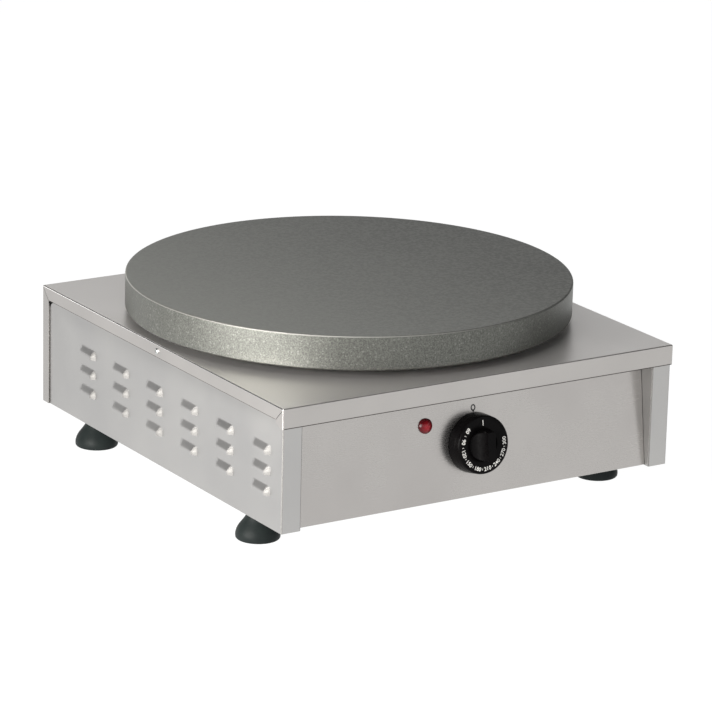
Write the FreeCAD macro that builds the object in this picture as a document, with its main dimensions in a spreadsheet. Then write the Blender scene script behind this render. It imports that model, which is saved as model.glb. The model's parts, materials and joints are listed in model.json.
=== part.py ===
import FreeCAD, Part
import math
import os
import Sketcher

# Electric crepe maker: a cast griddle plate on a folded stainless housing with four levelling feet.
# Millimetres. +Z is up and the control panel faces -Y. The origin lies on the surface that the
# feet stand on, under the middle of the outline.

os.makedirs("parts", exist_ok=True)
document = FreeCAD.newDocument("crepe_maker")
sheet_table = document.addObject("Spreadsheet::Sheet", "Sizes")
table_rows = []


class Size:
    """A length that knows both its number and the formula that the document is bound to."""

    def __init__(self, value, formula):
        self.value = value
        self.formula = formula

    def __add__(self, other):
        return combine(self, other, "+", self.value + number(other))

    def __radd__(self, other):
        return combine(other, self, "+", other + self.value)

    def __sub__(self, other):
        return combine(self, other, "-", self.value - number(other))

    def __rsub__(self, other):
        return combine(other, self, "-", other - self.value)

    def __mul__(self, other):
        return combine(self, other, "*", self.value * number(other))

    def __rmul__(self, other):
        return combine(other, self, "*", other * self.value)

    def __truediv__(self, other):
        return combine(self, other, "/", self.value / number(other))

    def __neg__(self):
        return combine(0, self, "-", -self.value)


def number(item):
    return item.value if isinstance(item, Size) else item


def formula(item):
    return item.formula if isinstance(item, Size) else repr(item)


def combine(left, right, sign, value):
    return Size(value, "(" + formula(left) + " " + sign + " " + formula(right) + ")")


def size(alias, value):
    """Put one driving dimension in the spreadsheet and hand it back as a Size."""
    row = len(table_rows) + 1
    table_rows.append(alias)
    sheet_table.set("A" + str(row), alias)
    sheet_table.set("B" + str(row), str(value))
    sheet_table.setAlias("B" + str(row), alias)
    return Size(value, "Sizes." + alias)


def sine(angle):
    return Size(math.sin(math.radians(angle.value)), "sin(" + angle.formula + ")")


def cosine(angle):
    return Size(math.cos(math.radians(angle.value)), "cos(" + angle.formula + ")")


# Housing: it is as wide as the plate, and deeper by the room that the control panel takes.
plate_radius = size("plate_radius", 200.0)
cover_width = plate_radius * 2
control_depth = size("depth_beyond_plate", 24.0)
cover_depth = plate_radius * 2 + control_depth
housing_height = size("housing_height", 110.0)
foot_height = size("foot_height", 29.0)
sheet = size("sheet_thickness", 1.0)
bend = size("bend_radius", 1.3)
front_band = size("front_band_depth", 18.0)
side_band = size("side_band_depth", 12.0)
lap_gap = size("lap_clearance", 0.3)
mitre_slit = size("mitre_slit", 0.5)
tab_rise = size("tab_corner_rise", 3.0)
lip = size("fixing_lip_width", 11.7)
side_lip = size("side_lip_width", 10.0)
flange_width = size("front_flange_width", 19.0)
panel_setback = size("panel_foot_setback", 7.0)
panel_tilt = size("panel_tilt_degrees", 7.3)
return_overlap = size("return_behind_panel", 10.0)
rear_slot = size("rear_slot_width", 0.8)
corner_notch = size("corner_notch_radius", 6.5)
opening_inset = size("opening_inside_plate", 30.0)
opening_radius = plate_radius - opening_inset
lip_screw_front = size("lip_screw_behind_foot", 53.0)
lip_screw_back = size("lip_screw_before_back", 42.0)
end_screw_inset = size("end_screw_inset", 80.0)
panel_screw_inset = size("panel_screw_inset", 7.0)

# Louvres of the side panels
louvre_columns = 6
louvre_rows = 3
louvre_margins = size("louvre_margins", 59.2)
louvre_pitch_y = (cover_depth - louvre_margins) / louvre_columns
louvre_pitch_z = size("louvre_pitch_up", 18.1)
louvre_length = size("louvre_length", 29.0)
louvre_lip_length = size("louvre_lip_length", 17.0)
louvre_height = size("louvre_height", 9.0)
louvre_lip_height = size("louvre_lip_height", 2.5)
louvre_rise = size("louvre_rise", 3.5)
louvre_drop = size("louvre_below_cover", 37.0)
louvre_shift = size("louvre_group_shift", 24.7)
# Share of the sheet's thickness that is left over the hollow at a hood's low front edge
hood_share = 0.6

# Griddle plate and what heats and carries it
plate_shift = size("plate_behind_centre", 6.0)
plate_gap = size("plate_above_cover", 6.5)
plate_height = size("plate_rim_height", 30.5)
plate_top = size("plate_top_thickness", 12.0)
plate_skirt = size("plate_skirt_thickness", 8.0)
plate_edge = size("plate_edge_radius", 1.6)
post_inset = size("post_inside_opening", 20.0)
boss_radius = size("boss_radius", 10.0)
boss_length = size("boss_length", 14.0)
post_radius = size("post_radius", 7.0)
bolt_reach = size("post_bolt_reach", 14.0)
bolt_head_height = size("post_bolt_head_height", 5.2)
sleeve_radius = size("sleeve_radius", 6.0)
shield_drop = size("shield_below_cover", 21.0)
shield_inset = size("shield_inside_opening", 10.0)
insulation_thickness = size("insulation_thickness", 11.0)
element_tube = size("element_tube_radius", 4.0)
ring_inset = size("outer_ring_inside_posts", 20.0)
ring_spacing = size("ring_spacing", 55.0)
ring_sweep = size("ring_sweep_degrees", 340.0)
ring_leg = size("element_leg_length", 60.0)
clamp_width = size("clamp_width", 16.0)
clamp_thickness = size("clamp_thickness", 2.0)
clamp_bolt = size("clamp_bolt_radius", 2.5)
clamp_nut_radius = size("clamp_nut_radius", 4.6)
clamp_nut_height = size("clamp_nut_height", 4.0)
pass_gap = size("pass_hole_clearance", 1.5)

# Controls
knob_across = size("knob_across", 1.0)
knob_along = size("knob_up_panel", 47.1)
knob_radius = size("knob_radius", 26.5)
knob_skirt = size("knob_skirt_depth", 9.0)
knob_standoff = size("knob_standoff", 0.6)
knob_wall = size("knob_wall", 2.2)
knob_taper = size("knob_taper", 0.55)
knob_corner = size("knob_corner", 1.1)
knob_corner_radius = size("knob_corner_radius", 1.54)
grip_height = size("grip_height", 18.0)
grip_radius = size("grip_radius", 14.0)
grip_width = size("grip_width", 8.0)
scoop_radius = size("grip_scoop_radius", 16.0)
hub_radius = size("knob_hub_radius", 7.0)
spindle_radius = size("spindle_radius", 3.0)
spindle_reach = size("spindle_reach", 20.0)
spindle_flat = size("spindle_flat_depth", 1.2)
spindle_depth = size("spindle_depth_in_body", 18.0)
running_gap = size("running_clearance", 0.05)
thermostat_width = size("thermostat_width", 38.0)
thermostat_length = size("thermostat_length", 46.0)
thermostat_depth = size("thermostat_depth", 32.0)
switch_screw_pitch = size("thermostat_screw_pitch", 28.0)
switch_screw_radius = size("thermostat_screw_radius", 2.0)
switch_head_radius = size("thermostat_screw_head_radius", 3.6)
bulb_radius = size("bulb_radius", 3.2)
bulb_length = size("bulb_length", 60.0)
capillary_radius = size("capillary_radius", 1.0)
tube_stub = size("capillary_stub_length", 10.0)
lamp_spacing = size("lamp_left_of_knob", 49.5)
lamp_along = size("lamp_up_panel", 68.8)
lamp_radius = size("lamp_lens_radius", 6.7)
lamp_dome = size("lamp_dome_height", 4.0)
lamp_neck = size("lamp_neck_radius", 5.0)
lamp_depth = size("lamp_body_depth", 24.0)

# Feet, fasteners and the cord entry
foot_side_inset = size("foot_side_inset", 23.0)
foot_front_inset = size("foot_front_inset", 75.0)
foot_back_inset = size("foot_back_inset", 62.0)
foot_radius = size("foot_base_radius", 19.5)
foot_sole = size("foot_sole_radius", 17.5)
foot_rim = size("foot_rim_height", 5.0)
foot_shoulder = size("foot_shoulder_radius", 17.0)
foot_shoulder_up = size("foot_shoulder_height", 9.0)
foot_neck = size("foot_neck_radius", 8.8)
foot_neck_up = size("foot_neck_height", 22.0)
foot_flare = size("foot_flare_radius", 16.0)
foot_brim = size("foot_brim_radius", 6.0)
stud_radius = size("stud_radius", 4.0)
stud_top = size("stud_above_base", 22.0)
stud_seat = size("stud_seat_height", 6.0)
foot_nut_radius = size("foot_nut_radius", 7.5)
foot_nut_height = size("foot_nut_height", 8.0)
screw_radius = size("screw_radius", 1.5)
screw_head_radius = size("screw_head_radius", 2.8)
screw_head_height = size("screw_head_height", 1.3)
screw_length = size("screw_length", 6.0)
cover_screw_drop = size("cover_screw_drop", 6.7)
gland_inset = size("gland_inset", 80.0)
gland_up = size("gland_above_base", 32.0)
gland_thread = size("gland_thread_radius", 8.0)
gland_hex = size("gland_hex_radius", 12.5)
gland_collar = size("gland_collar_length", 5.0)
gland_dome = size("gland_nose_length", 11.0)
gland_bore = size("gland_bore_radius", 4.5)
gland_nose_radius = size("gland_nose_radius", 10.6)
gland_tip_radius = size("gland_tip_radius", 6.75)
gland_tail = size("gland_tail_length", 12.0)
block_length = size("terminal_block_length", 60.0)
block_width = size("terminal_block_width", 24.0)
block_height = size("terminal_block_height", 20.0)
block_inset = size("terminal_block_inset", 60.0)
terminal_ways = 3
well_radius = size("terminal_well_radius", 4.0)
fit_gap = size("fixed_fit_clearance", 0.03)
clear_hole = size("clear_hole_margin", 1.0)
vent_slots = 9
vent_across = size("vent_slots_across", 48.0)
vent_length = size("vent_slot_length", 60.0)
vent_width = size("vent_slot_width", 4.0)
vent_pitch = size("vent_slot_pitch", 14.0)

# Levels and faces that several pieces share
cover_top = foot_height + housing_height
under_cover = cover_top - sheet - lap_gap
half_width = cover_width / 2
half_depth = cover_depth / 2
foot_across = half_width - foot_side_inset
foot_front = half_depth - foot_front_inset
foot_back = half_depth - foot_back_inset
end_screw_across = half_width - end_screw_inset
gland_across = half_width - gland_inset
post_circle = opening_radius - post_inset
outer_ring = post_circle - ring_inset
inner_ring = outer_ring - ring_spacing
shield_radius = opening_radius - shield_inset
side_face = half_width - sheet - lap_gap
front_face = sheet + lap_gap - half_depth
back_inside = half_depth - sheet
base_level = foot_height + sheet
base_top = base_level + sheet
panel_foot = panel_setback - half_depth
return_inside = side_face - flange_width
panel_half = return_inside - lap_gap
plate_floor = cover_top + plate_gap
plate_under = plate_floor + plate_height - plate_top
shield_level = cover_top - shield_drop
boss_floor = plate_under - boss_length
element_level = plate_under - element_tube
clamp_level = plate_under - element_tube * 2 - clamp_thickness

full_turn = 360
quarter_turn = 90
document.recompute()
pieces = {}


def bind(item, prop, value):
    """Tie a property to its formula, or set a plain value."""
    if isinstance(value, Size):
        item.setExpression(prop, value.formula)
    else:
        setattr(item, prop, value)


def seat(item, at):
    """Tie the item's place to three sizes."""
    for letter, value in zip("xyz", at):
        item.setExpression("Placement.Base." + letter, formula(value))


def block(name, low, high):
    """A box between two corners."""
    item = document.addObject("Part::Box", name)
    for prop, start, end in zip(("Length", "Width", "Height"), low, high):
        bind(item, prop, end - start)
    seat(item, low)
    return item


TURNS = {
    "Z": (FreeCAD.Vector(0, 0, 1), 0),
    "X": (FreeCAD.Vector(0, 1, 0), 90),
    "Y": (FreeCAD.Vector(1, 0, 0), -90),
}


def rod(name, radius, length, at, along="Z"):
    """A cylinder that starts at a point and runs along an axis."""
    item = document.addObject("Part::Cylinder", name)
    bind(item, "Radius", radius)
    bind(item, "Height", length)
    turn_axis, angle = TURNS[along]
    item.Placement = FreeCAD.Placement(FreeCAD.Vector(), FreeCAD.Rotation(turn_axis, angle))
    seat(item, at)
    return item


def hexagon(name, radius, height, at, along="Z"):
    """A hexagonal prism that starts at a point and runs along an axis."""
    item = document.addObject("Part::Prism", name)
    item.Polygon = 6
    bind(item, "Circumradius", radius)
    bind(item, "Height", height)
    turn_axis, angle = TURNS[along]
    item.Placement = FreeCAD.Placement(FreeCAD.Vector(), FreeCAD.Rotation(turn_axis, angle))
    seat(item, at)
    return item


def ball(name, radius, at):
    item = document.addObject("Part::Sphere", name)
    bind(item, "Radius", radius)
    seat(item, at)
    return item


def join(name, items):
    item = document.addObject("Part::MultiFuse", name)
    item.Shapes = items
    return item


def group(name, items):
    """Several separate solids of one kind in one sub-part."""
    item = document.addObject("Part::Compound", name)
    item.Links = items
    return item


def carve(name, base, tools):
    """Take the tools away from the base."""
    item = document.addObject("Part::Cut", name)
    item.Base = base
    item.Tool = tools[0] if len(tools) == 1 else group(name + "_tools", tools)
    return item


def mirror(name, source):
    """The same piece on the other side of the X = 0 plane."""
    item = document.addObject("Part::Mirroring", name)
    item.Source = source
    item.Base = FreeCAD.Vector(0, 0, 0)
    item.Normal = FreeCAD.Vector(1, 0, 0)
    return item


def round_edges(name, base, radius, wanted):
    """Round the edges of a shape that the wanted function picks."""
    document.recompute()
    item = document.addObject("Part::Fillet", name)
    item.Base = base
    chosen = []
    for index, edge in enumerate(base.Shape.Edges, start=1):
        if wanted(edge):
            chosen.append((index, radius.value, radius.value))
    item.Edges = chosen
    return item


def origin_plane(body, role):
    for feature in body.Origin.OriginFeatures:
        if feature.Role == role:
            return feature


def outline(body, name, role, points):
    """A closed sketch; each point is (across, up), or (across, up, radius, side) after an arc.

    The side is 1 where the arc's centre lies left of the way from the last point, or -1.
    """
    sketch = body.newObject("Sketcher::SketchObject", name)
    sketch.AttachmentSupport = [(origin_plane(body, role), "")]
    sketch.MapMode = "FlatFace"
    count = len(points)
    for index in range(count):
        start = points[index - 1]
        end = points[index]
        first = FreeCAD.Vector(number(start[0]), number(start[1]), 0)
        last = FreeCAD.Vector(number(end[0]), number(end[1]), 0)
        if len(end) == 2:
            sketch.addGeometry(Part.LineSegment(first, last), False)
            continue
        chord = last - first
        radius = number(end[2])
        rise = math.sqrt(radius ** 2 - (chord.Length / 2) ** 2)
        left = FreeCAD.Vector(-chord.y, chord.x, 0).normalize()
        centre = (first + last) * 0.5 + left * rise * end[3]
        begin = math.atan2(first.y - centre.y, first.x - centre.x)
        finish = math.atan2(last.y - centre.y, last.x - centre.x)
        if end[3] < 0:
            begin, finish = finish, begin
        circle = Part.Circle(centre, FreeCAD.Vector(0, 0, 1), radius)
        sketch.addGeometry(Part.ArcOfCircle(circle, begin, finish), False)
    for index in range(count):
        end = points[index]
        following = (index + 1) % count
        tail = 2 if len(end) == 2 or end[3] > 0 else 1
        after = points[following]
        head = 1 if len(after) == 2 or after[3] > 0 else 2
        sketch.addConstraint(Sketcher.Constraint("Coincident", index, tail, following, head))
        for kind, value in (("DistanceX", end[0]), ("DistanceY", end[1])):
            slot = sketch.addConstraint(Sketcher.Constraint(kind, -1, 1, index, tail, number(value)))
            sketch.setExpression("Constraints[" + str(slot) + "]", formula(value))
        if len(end) == 4:
            slot = sketch.addConstraint(Sketcher.Constraint("Radius", index, number(end[2])))
            sketch.setExpression("Constraints[" + str(slot) + "]", formula(end[2]))
    return sketch


def slab(name, points, start, thickness):
    """A sheet section drawn in the Y-Z plane and drawn out along X."""
    body = document.addObject("PartDesign::Body", name)
    sketch = outline(body, name + "_outline", "YZ_Plane", points)
    pad = body.newObject("PartDesign::Pad", name + "_pad")
    pad.Profile = sketch
    bind(pad, "Length", thickness)
    body.Tip = pad
    seat(body, (start, 0, 0))
    return body


def turned(name, points, at=(0, 0, 0)):
    """A piece turned about its own Z axis from half of its section."""
    body = document.addObject("PartDesign::Body", name)
    sketch = outline(body, name + "_section", "XZ_Plane", points)
    spin = body.newObject("PartDesign::Revolution", name + "_turn")
    spin.Profile = sketch
    spin.ReferenceAxis = (sketch, ["V_Axis"])
    spin.Angle = full_turn
    body.Tip = spin
    seat(body, at)
    return body


def on_panel(item, across, along, out):
    """Stand an item on the sloping panel, with its Z axis square to the panel and pointing out."""
    item.Placement = FreeCAD.Placement(
        FreeCAD.Vector(), FreeCAD.Rotation(FreeCAD.Vector(1, 0, 0), quarter_turn / 2)
    )
    item.setExpression("Placement.Rotation.Angle", formula(quarter_turn - panel_tilt))
    place_y = panel_foot + sine(panel_tilt) * along - cosine(panel_tilt) * out
    place_z = foot_height + cosine(panel_tilt) * along + sine(panel_tilt) * out
    seat(item, (across, place_y, place_z))
    return item


def keep(node, item):
    """Name a finished sub-part."""
    item.Label = node
    pieces[node] = item
    return item


# Top cover: one folded sheet with a deep front band, mitred side bands and the round opening
# that the griddle plate stands over.
cover_floor = cover_top - front_band
side_floor = cover_top - side_band
cover_block = block(
    "cover_block", (-half_width, -half_depth, cover_floor), (half_width, half_depth, cover_top)
)


def is_cover_fold(edge):
    box = edge.BoundBox
    on_top = box.ZMin > cover_top.value - 0.01
    at_front_corner = box.ZLength > 1 and box.YMax < 0
    return on_top or at_front_corner


cover_folded = round_edges("cover_folded", cover_block, bend, is_cover_fold)
cover_hollow = block(
    "cover_hollow",
    (sheet - half_width, sheet - half_depth, cover_floor - 1),
    (half_width - sheet, half_depth - sheet, cover_top - sheet),
)
cover_trim = slab(
    "cover_trim",
    [
        (side_band - half_depth, side_floor),
        (half_depth - side_band, side_floor),
        (half_depth - sheet, cover_top - sheet),
        (half_depth + sheet, cover_top - sheet),
        (half_depth + sheet, cover_floor - sheet),
        (tab_rise - half_depth, cover_floor - sheet),
        (tab_rise - half_depth, cover_floor),
        (side_band - half_depth - mitre_slit, side_floor - tab_rise),
        (side_band - half_depth - mitre_slit, side_floor - mitre_slit),
        (sheet - half_depth + mitre_slit / 2, cover_top - sheet - mitre_slit * 2),
        (sheet - half_depth + mitre_slit / 2, cover_top - sheet - mitre_slit),
    ],
    -half_width - sheet,
    cover_width + sheet * 2,
)
cover_mouth = rod("cover_mouth", opening_radius, sheet * 4, (0, plate_shift, cover_top - sheet * 2))
cover_screw_level = cover_top - cover_screw_drop
screw_hole = screw_radius + fit_gap
cover_screw_way = rod(
    "cover_screw_way", screw_hole, cover_width + sheet * 2, (-half_width - sheet, 0, cover_screw_level), "X"
)
top_cover = carve(
    "top_cover_cut", cover_folded, [cover_hollow, cover_trim, cover_mouth, cover_screw_way]
)
keep("top_cover", top_cover)

# Side panels: each is one sheet folded round the front corner into a flange and a return that
# runs back past the sloping panel, with three rows of pressed louvres.
side_block = block(
    "side_block",
    (-side_face, front_face, foot_height),
    (-return_inside, half_depth - lip - rear_slot, under_cover),
)


def is_side_fold(edge):
    box = edge.BoundBox
    return box.ZLength > 1 and box.YMax < front_face.value + 0.01


side_folded = round_edges("side_folded", side_block, bend, is_side_fold)
side_hollow = block(
    "side_hollow",
    (sheet - side_face, front_face + sheet, base_level),
    (-return_inside - sheet, half_depth, cover_top),
)
side_lip_trim = block(
    "side_lip_trim",
    (side_lip - side_face, front_face + sheet, foot_height - sheet),
    (-return_inside - sheet, half_depth, base_level + sheet / 2),
)
slope_top = under_cover + sheet
slope_run = (slope_top - foot_height) * sine(panel_tilt) / cosine(panel_tilt)
return_trim = slab(
    "return_trim",
    [
        (panel_foot + return_overlap, foot_height - sheet),
        (half_depth, foot_height - sheet),
        (half_depth, slope_top),
        (panel_foot + return_overlap + slope_run, slope_top),
    ],
    -return_inside - sheet * 2,
    sheet * 4,
)
notch_y = half_depth - lip - rear_slot - corner_notch
notch_z = side_floor + lap_gap - corner_notch
notch_block = block(
    "notch_block",
    (-side_face - sheet, notch_y, notch_z),
    (sheet * 3 - side_face, half_depth, cover_top),
)
notch_round = rod(
    "notch_round", corner_notch, sheet * 6, (-side_face - sheet * 2, notch_y, notch_z), "X"
)
notch = carve("notch_cut", notch_block, [notch_round])
base_screw_x = side_face - side_lip / 2
first_screw_y = lip_screw_front - foot_front
last_screw_y = half_depth - lip_screw_back
base_screw_y = [first_screw_y, (first_screw_y + last_screw_y) / 2, last_screw_y]


def wedge(name, inset, depth, at_y, at_z):
    """The tapering hood of one louvre, open below; the inset makes the hollow inside it."""
    item = document.addObject("Part::Wedge", name)
    half = louvre_length / 2 - inset
    lip_half = louvre_lip_length / 2 - inset
    bind(item, "Xmin", -half)
    bind(item, "Xmax", half)
    bind(item, "X2min", -lip_half)
    bind(item, "X2max", lip_half)
    bind(item, "Ymin", -sheet)
    bind(item, "Ymax", depth)
    bind(item, "Zmin", -louvre_height - inset)
    bind(item, "Zmax", -inset)
    bind(item, "Z2min", -louvre_height - inset)
    bind(item, "Z2max", louvre_lip_height - louvre_height - inset * hood_share)
    item.Placement = FreeCAD.Placement(
        FreeCAD.Vector(), FreeCAD.Rotation(FreeCAD.Vector(0, 0, 1), 90)
    )
    seat(item, (-side_face, at_y, at_z))
    return item


hoods = []
hollows = []
for column in range(louvre_columns):
    for row in range(louvre_rows):
        middle_y = louvre_pitch_y * ((louvre_columns - 1) / 2 - column) - louvre_shift
        top_z = cover_top - louvre_drop - louvre_pitch_z * row
        tag = "_" + str(column + 1) + "_" + str(row + 1)
        hoods.append(wedge("hood" + tag, 0, louvre_rise, middle_y, top_z))
        hollows.append(wedge("hollow" + tag, sheet, louvre_rise - sheet, middle_y, top_z))

side_sheet = carve("side_sheet", side_folded, [side_hollow, side_lip_trim, return_trim, notch])
side_hooded = join("side_hooded", [side_sheet] + hoods)
side_ways = [
    rod("side_screw_way", screw_hole, sheet * 6, (-side_face - sheet * 3, 0, cover_screw_level), "X")
]
for index, way_y in enumerate(base_screw_y):
    side_ways.append(
        rod("lip_way_" + str(index), screw_hole, sheet * 4, (-base_screw_x, way_y, foot_height - sheet))
    )
left_side_panel = carve("left_side_cut", side_hooded, hollows + side_ways)
keep("left_side_panel", left_side_panel)
keep("right_side_panel", mirror("right_side_mirror", left_side_panel))

# Rear cover: a sheet that wraps round both back corners, with the ends of its wraps mitred
# against the top cover's side bands.
rear_front = half_depth - lip
rear_block = block(
    "rear_block", (-half_width, rear_front, foot_height), (half_width, half_depth, under_cover)
)


def is_rear_fold(edge):
    box = edge.BoundBox
    return box.ZLength > 1 and box.YMin > half_depth.value - 0.01


rear_folded = round_edges("rear_folded", rear_block, bend, is_rear_fold)
rear_hollow = block(
    "rear_hollow",
    (sheet - half_width, rear_front - sheet, base_level),
    (half_width - sheet, back_inside, under_cover - sheet),
)
rear_trims = []
for hand, start in (("left", -half_width - sheet), ("right", half_width - sheet)):
    rear_trims.append(
        slab(
            "rear_mitre_" + hand,
            [
                (rear_front - sheet, side_floor - sheet - mitre_slit),
                (half_depth + sheet, cover_top + sheet - mitre_slit),
                (rear_front - sheet, cover_top + sheet - mitre_slit),
            ],
            start,
            sheet * 2,
        )
    )
gland_level = base_level + gland_up
gland_way = rod(
    "gland_way", gland_thread + fit_gap, sheet * 4, (gland_across, half_depth - sheet * 3, gland_level), "Y"
)
rear_screw_y = half_depth - lip / 2
rear_ways = []
for hand in (-1, 1):
    rear_ways.append(
        rod(
            "rear_lip_way_" + str(hand + 1),
            screw_hole,
            sheet * 4,
            (end_screw_across * hand, rear_screw_y, foot_height - sheet),
        )
    )
keep(
    "rear_cover",
    carve("rear_cover_cut", rear_folded, [rear_hollow, gland_way] + rear_trims + rear_ways),
)

# Front panel: the sloping control panel between the two returns, with a lip above and below.
panel_rise = under_cover - foot_height
panel_run = panel_rise * sine(panel_tilt) / cosine(panel_tilt)
panel_step = sheet / cosine(panel_tilt)
panel_lean = sine(panel_tilt) / cosine(panel_tilt) * sheet
panel_sheet = slab(
    "panel_sheet",
    [
        (panel_foot, foot_height),
        (panel_foot + lip, foot_height),
        (panel_foot + lip, base_level),
        (panel_foot + panel_step + panel_lean, base_level),
        (panel_foot + panel_run + panel_step - panel_lean, under_cover - sheet),
        (panel_foot + panel_run + lip, under_cover - sheet),
        (panel_foot + panel_run + lip, under_cover),
        (panel_foot + panel_run, under_cover),
    ],
    -panel_half,
    panel_half * 2,
)


def is_panel_fold(edge):
    box = edge.BoundBox
    return box.XLength > 1 and box.ZMax < foot_height.value + 0.01 and box.YMax < panel_foot.value + 0.01


panel_folded = round_edges("panel_folded", panel_sheet, bend, is_panel_fold)
lamp_across = knob_across - lamp_spacing
panel_ways = [
    on_panel(
        rod("spindle_way", spindle_radius + clear_hole, sheet * 4, (0, 0, 0)),
        knob_across,
        knob_along,
        -sheet * 2,
    ),
    on_panel(
        rod("lamp_way", lamp_neck + fit_gap, sheet * 4, (0, 0, 0)), lamp_across, lamp_along, -sheet * 2
    ),
]
for hand in (-1, 1):
    way = rod("switch_screw_way_" + str(hand + 1), switch_screw_radius + fit_gap, sheet * 4, (0, 0, 0))
    panel_ways.append(
        on_panel(way, knob_across, knob_along + switch_screw_pitch / 2 * hand, -sheet * 2)
    )
front_screw_y = panel_foot + panel_screw_inset
for hand in (-1, 1):
    panel_ways.append(
        rod(
            "front_lip_way_" + str(hand + 1),
            screw_hole,
            sheet * 4,
            (end_screw_across * hand, front_screw_y, foot_height - sheet),
        )
    )
keep("front_panel", carve("front_panel_cut", panel_folded, panel_ways))

# Base plate: it lies on the lips of the four walls and carries the feet, posts and terminals.
base_block = block(
    "base_block",
    (sheet + lap_gap - side_face, panel_foot + panel_step + sheet, base_level),
    (side_face - sheet - lap_gap, back_inside - lap_gap, base_top),
)
feet = {
    "front_left": (-foot_across, -foot_front),
    "front_right": (foot_across, -foot_front),
    "back_left": (-foot_across, foot_back),
    "back_right": (foot_across, foot_back),
}
diagonal = math.sqrt(0.5)
posts = []
for side_x in (-1, 1):
    for side_y in (-1, 1):
        posts.append((post_circle * diagonal * side_x, plate_shift + post_circle * diagonal * side_y))
base_screws_at = []
for hand in (-1, 1):
    for way_y in base_screw_y:
        base_screws_at.append((base_screw_x * hand, way_y))
    base_screws_at.append((end_screw_across * hand, rear_screw_y))
    base_screws_at.append((end_screw_across * hand, front_screw_y))
base_ways = []
for hand in (-1, 1):
    corner_x = (panel_half + side_face) / 2 * hand
    corner_half = (side_face - panel_half) / 2
    base_ways.append(
        block(
            "base_corner_" + str(hand + 1),
            (corner_x - corner_half, front_face, base_level - sheet),
            (corner_x + corner_half, panel_foot + return_overlap + sheet, base_top + sheet),
        )
    )
for place, (foot_x, foot_y) in feet.items():
    base_ways.append(
        rod(
            "stud_way_" + place,
            stud_radius + clear_hole,
            sheet * 3,
            (foot_x, foot_y, base_level - sheet),
        )
    )
for index, (post_x, post_y) in enumerate(posts):
    base_ways.append(
        rod(
            "bolt_way_" + str(index),
            stud_radius + fit_gap,
            sheet * 3,
            (post_x, post_y, base_level - sheet),
        )
    )
for index, (screw_x, screw_y) in enumerate(base_screws_at):
    base_ways.append(
        rod("base_way_" + str(index), screw_hole, sheet * 3, (screw_x, screw_y, base_level - sheet))
    )
for side_x in (-1, 1):
    for index in range(vent_slots):
        slot_x = vent_across * side_x
        slot_y = plate_shift + vent_pitch * (index - (vent_slots - 1) / 2)
        base_ways.append(
            block(
                "vent_" + str(side_x + 1) + "_" + str(index),
                (slot_x - vent_length / 2, slot_y - vent_width / 2, base_level - sheet),
                (slot_x + vent_length / 2, slot_y + vent_width / 2, base_top + sheet),
            )
        )
keep("base_plate", carve("base_plate_cut", base_block, base_ways))

# Griddle plate: a cast iron disc with a skirt, and four bosses under it for its posts.
plate_disc = turned(
    "plate_disc",
    [
        (0, plate_under),
        (plate_radius - plate_skirt, plate_under),
        (plate_radius - plate_skirt, plate_floor),
        (plate_radius - plate_edge, plate_floor),
        (plate_radius, plate_floor + plate_edge, plate_edge, 1),
        (plate_radius, plate_floor + plate_height - plate_edge),
        (plate_radius - plate_edge, plate_floor + plate_height, plate_edge, 1),
        (0, plate_floor + plate_height),
    ],
    (0, plate_shift, 0),
)
bosses = []
for index, (post_x, post_y) in enumerate(posts):
    bosses.append(
        rod("boss_" + str(index), boss_radius, boss_length + sheet, (post_x, post_y, boss_floor))
    )
keep("griddle_plate", join("griddle_plate_cast", [plate_disc] + bosses))

# Posts and sleeves: they carry the plate from the base plate and pinch the heat shield.
lower_posts = []
sleeves = []
bolts = []
for index, (post_x, post_y) in enumerate(posts):
    tag = str(index)
    post = rod("post_body_" + tag, post_radius, shield_level - base_top, (post_x, post_y, base_top))
    bore = rod(
        "post_bore_" + tag,
        stud_radius + fit_gap,
        bolt_reach + sheet,
        (post_x, post_y, base_top - sheet),
    )
    lower_posts.append(carve("post_" + tag, post, [bore]))
    sleeve_floor = shield_level + sheet
    sleeves.append(
        rod("sleeve_" + tag, sleeve_radius, boss_floor - sleeve_floor, (post_x, post_y, sleeve_floor))
    )
    shank = rod("bolt_shank_" + tag, stud_radius, bolt_reach, (post_x, post_y, base_top - sheet))
    head = hexagon(
        "bolt_head_" + tag,
        post_radius,
        bolt_head_height,
        (post_x, post_y, base_level - bolt_head_height),
    )
    bolts.append(join("bolt_" + tag, [shank, head]))
keep("plate_posts", group("plate_posts_group", lower_posts))
keep("spacer_sleeves", group("spacer_sleeves_group", sleeves))
keep("post_bolts", group("post_bolts_group", bolts))

# Heating elements: two open rings of sheathed tube pressed against the plate, legs at the back.
leg_gap = full_turn - ring_sweep
legs = []
elements = {}
for ring_name, ring_radius in (("outer", outer_ring), ("inner", inner_ring)):
    ring = document.addObject("Part::Torus", ring_name + "_ring")
    bind(ring, "Radius1", ring_radius)
    bind(ring, "Radius2", element_tube)
    bind(ring, "Angle3", ring_sweep)
    ring.Placement = FreeCAD.Placement(FreeCAD.Vector(), FreeCAD.Rotation(FreeCAD.Vector(0, 0, 1), 90))
    ring.setExpression("Placement.Rotation.Angle", formula(quarter_turn + leg_gap / 2))
    seat(ring, (0, plate_shift, element_level))
    solids = [ring]
    for hand in (-1, 1):
        leg_x = ring_radius * sine(leg_gap / 2) * hand
        leg_y = plate_shift + ring_radius * cosine(leg_gap / 2)
        tag = ring_name + "_" + str(hand + 1)
        solids.append(ball("elbow_" + tag, element_tube, (leg_x, leg_y, element_level)))
        solids.append(
            rod("leg_" + tag, element_tube, ring_leg, (leg_x, leg_y, element_level - ring_leg))
        )
        legs.append((leg_x, leg_y))
    elements[ring_name] = join(ring_name + "_element", solids)
keep("outer_heating_element", elements["outer"])
keep("inner_heating_element", elements["inner"])

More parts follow.
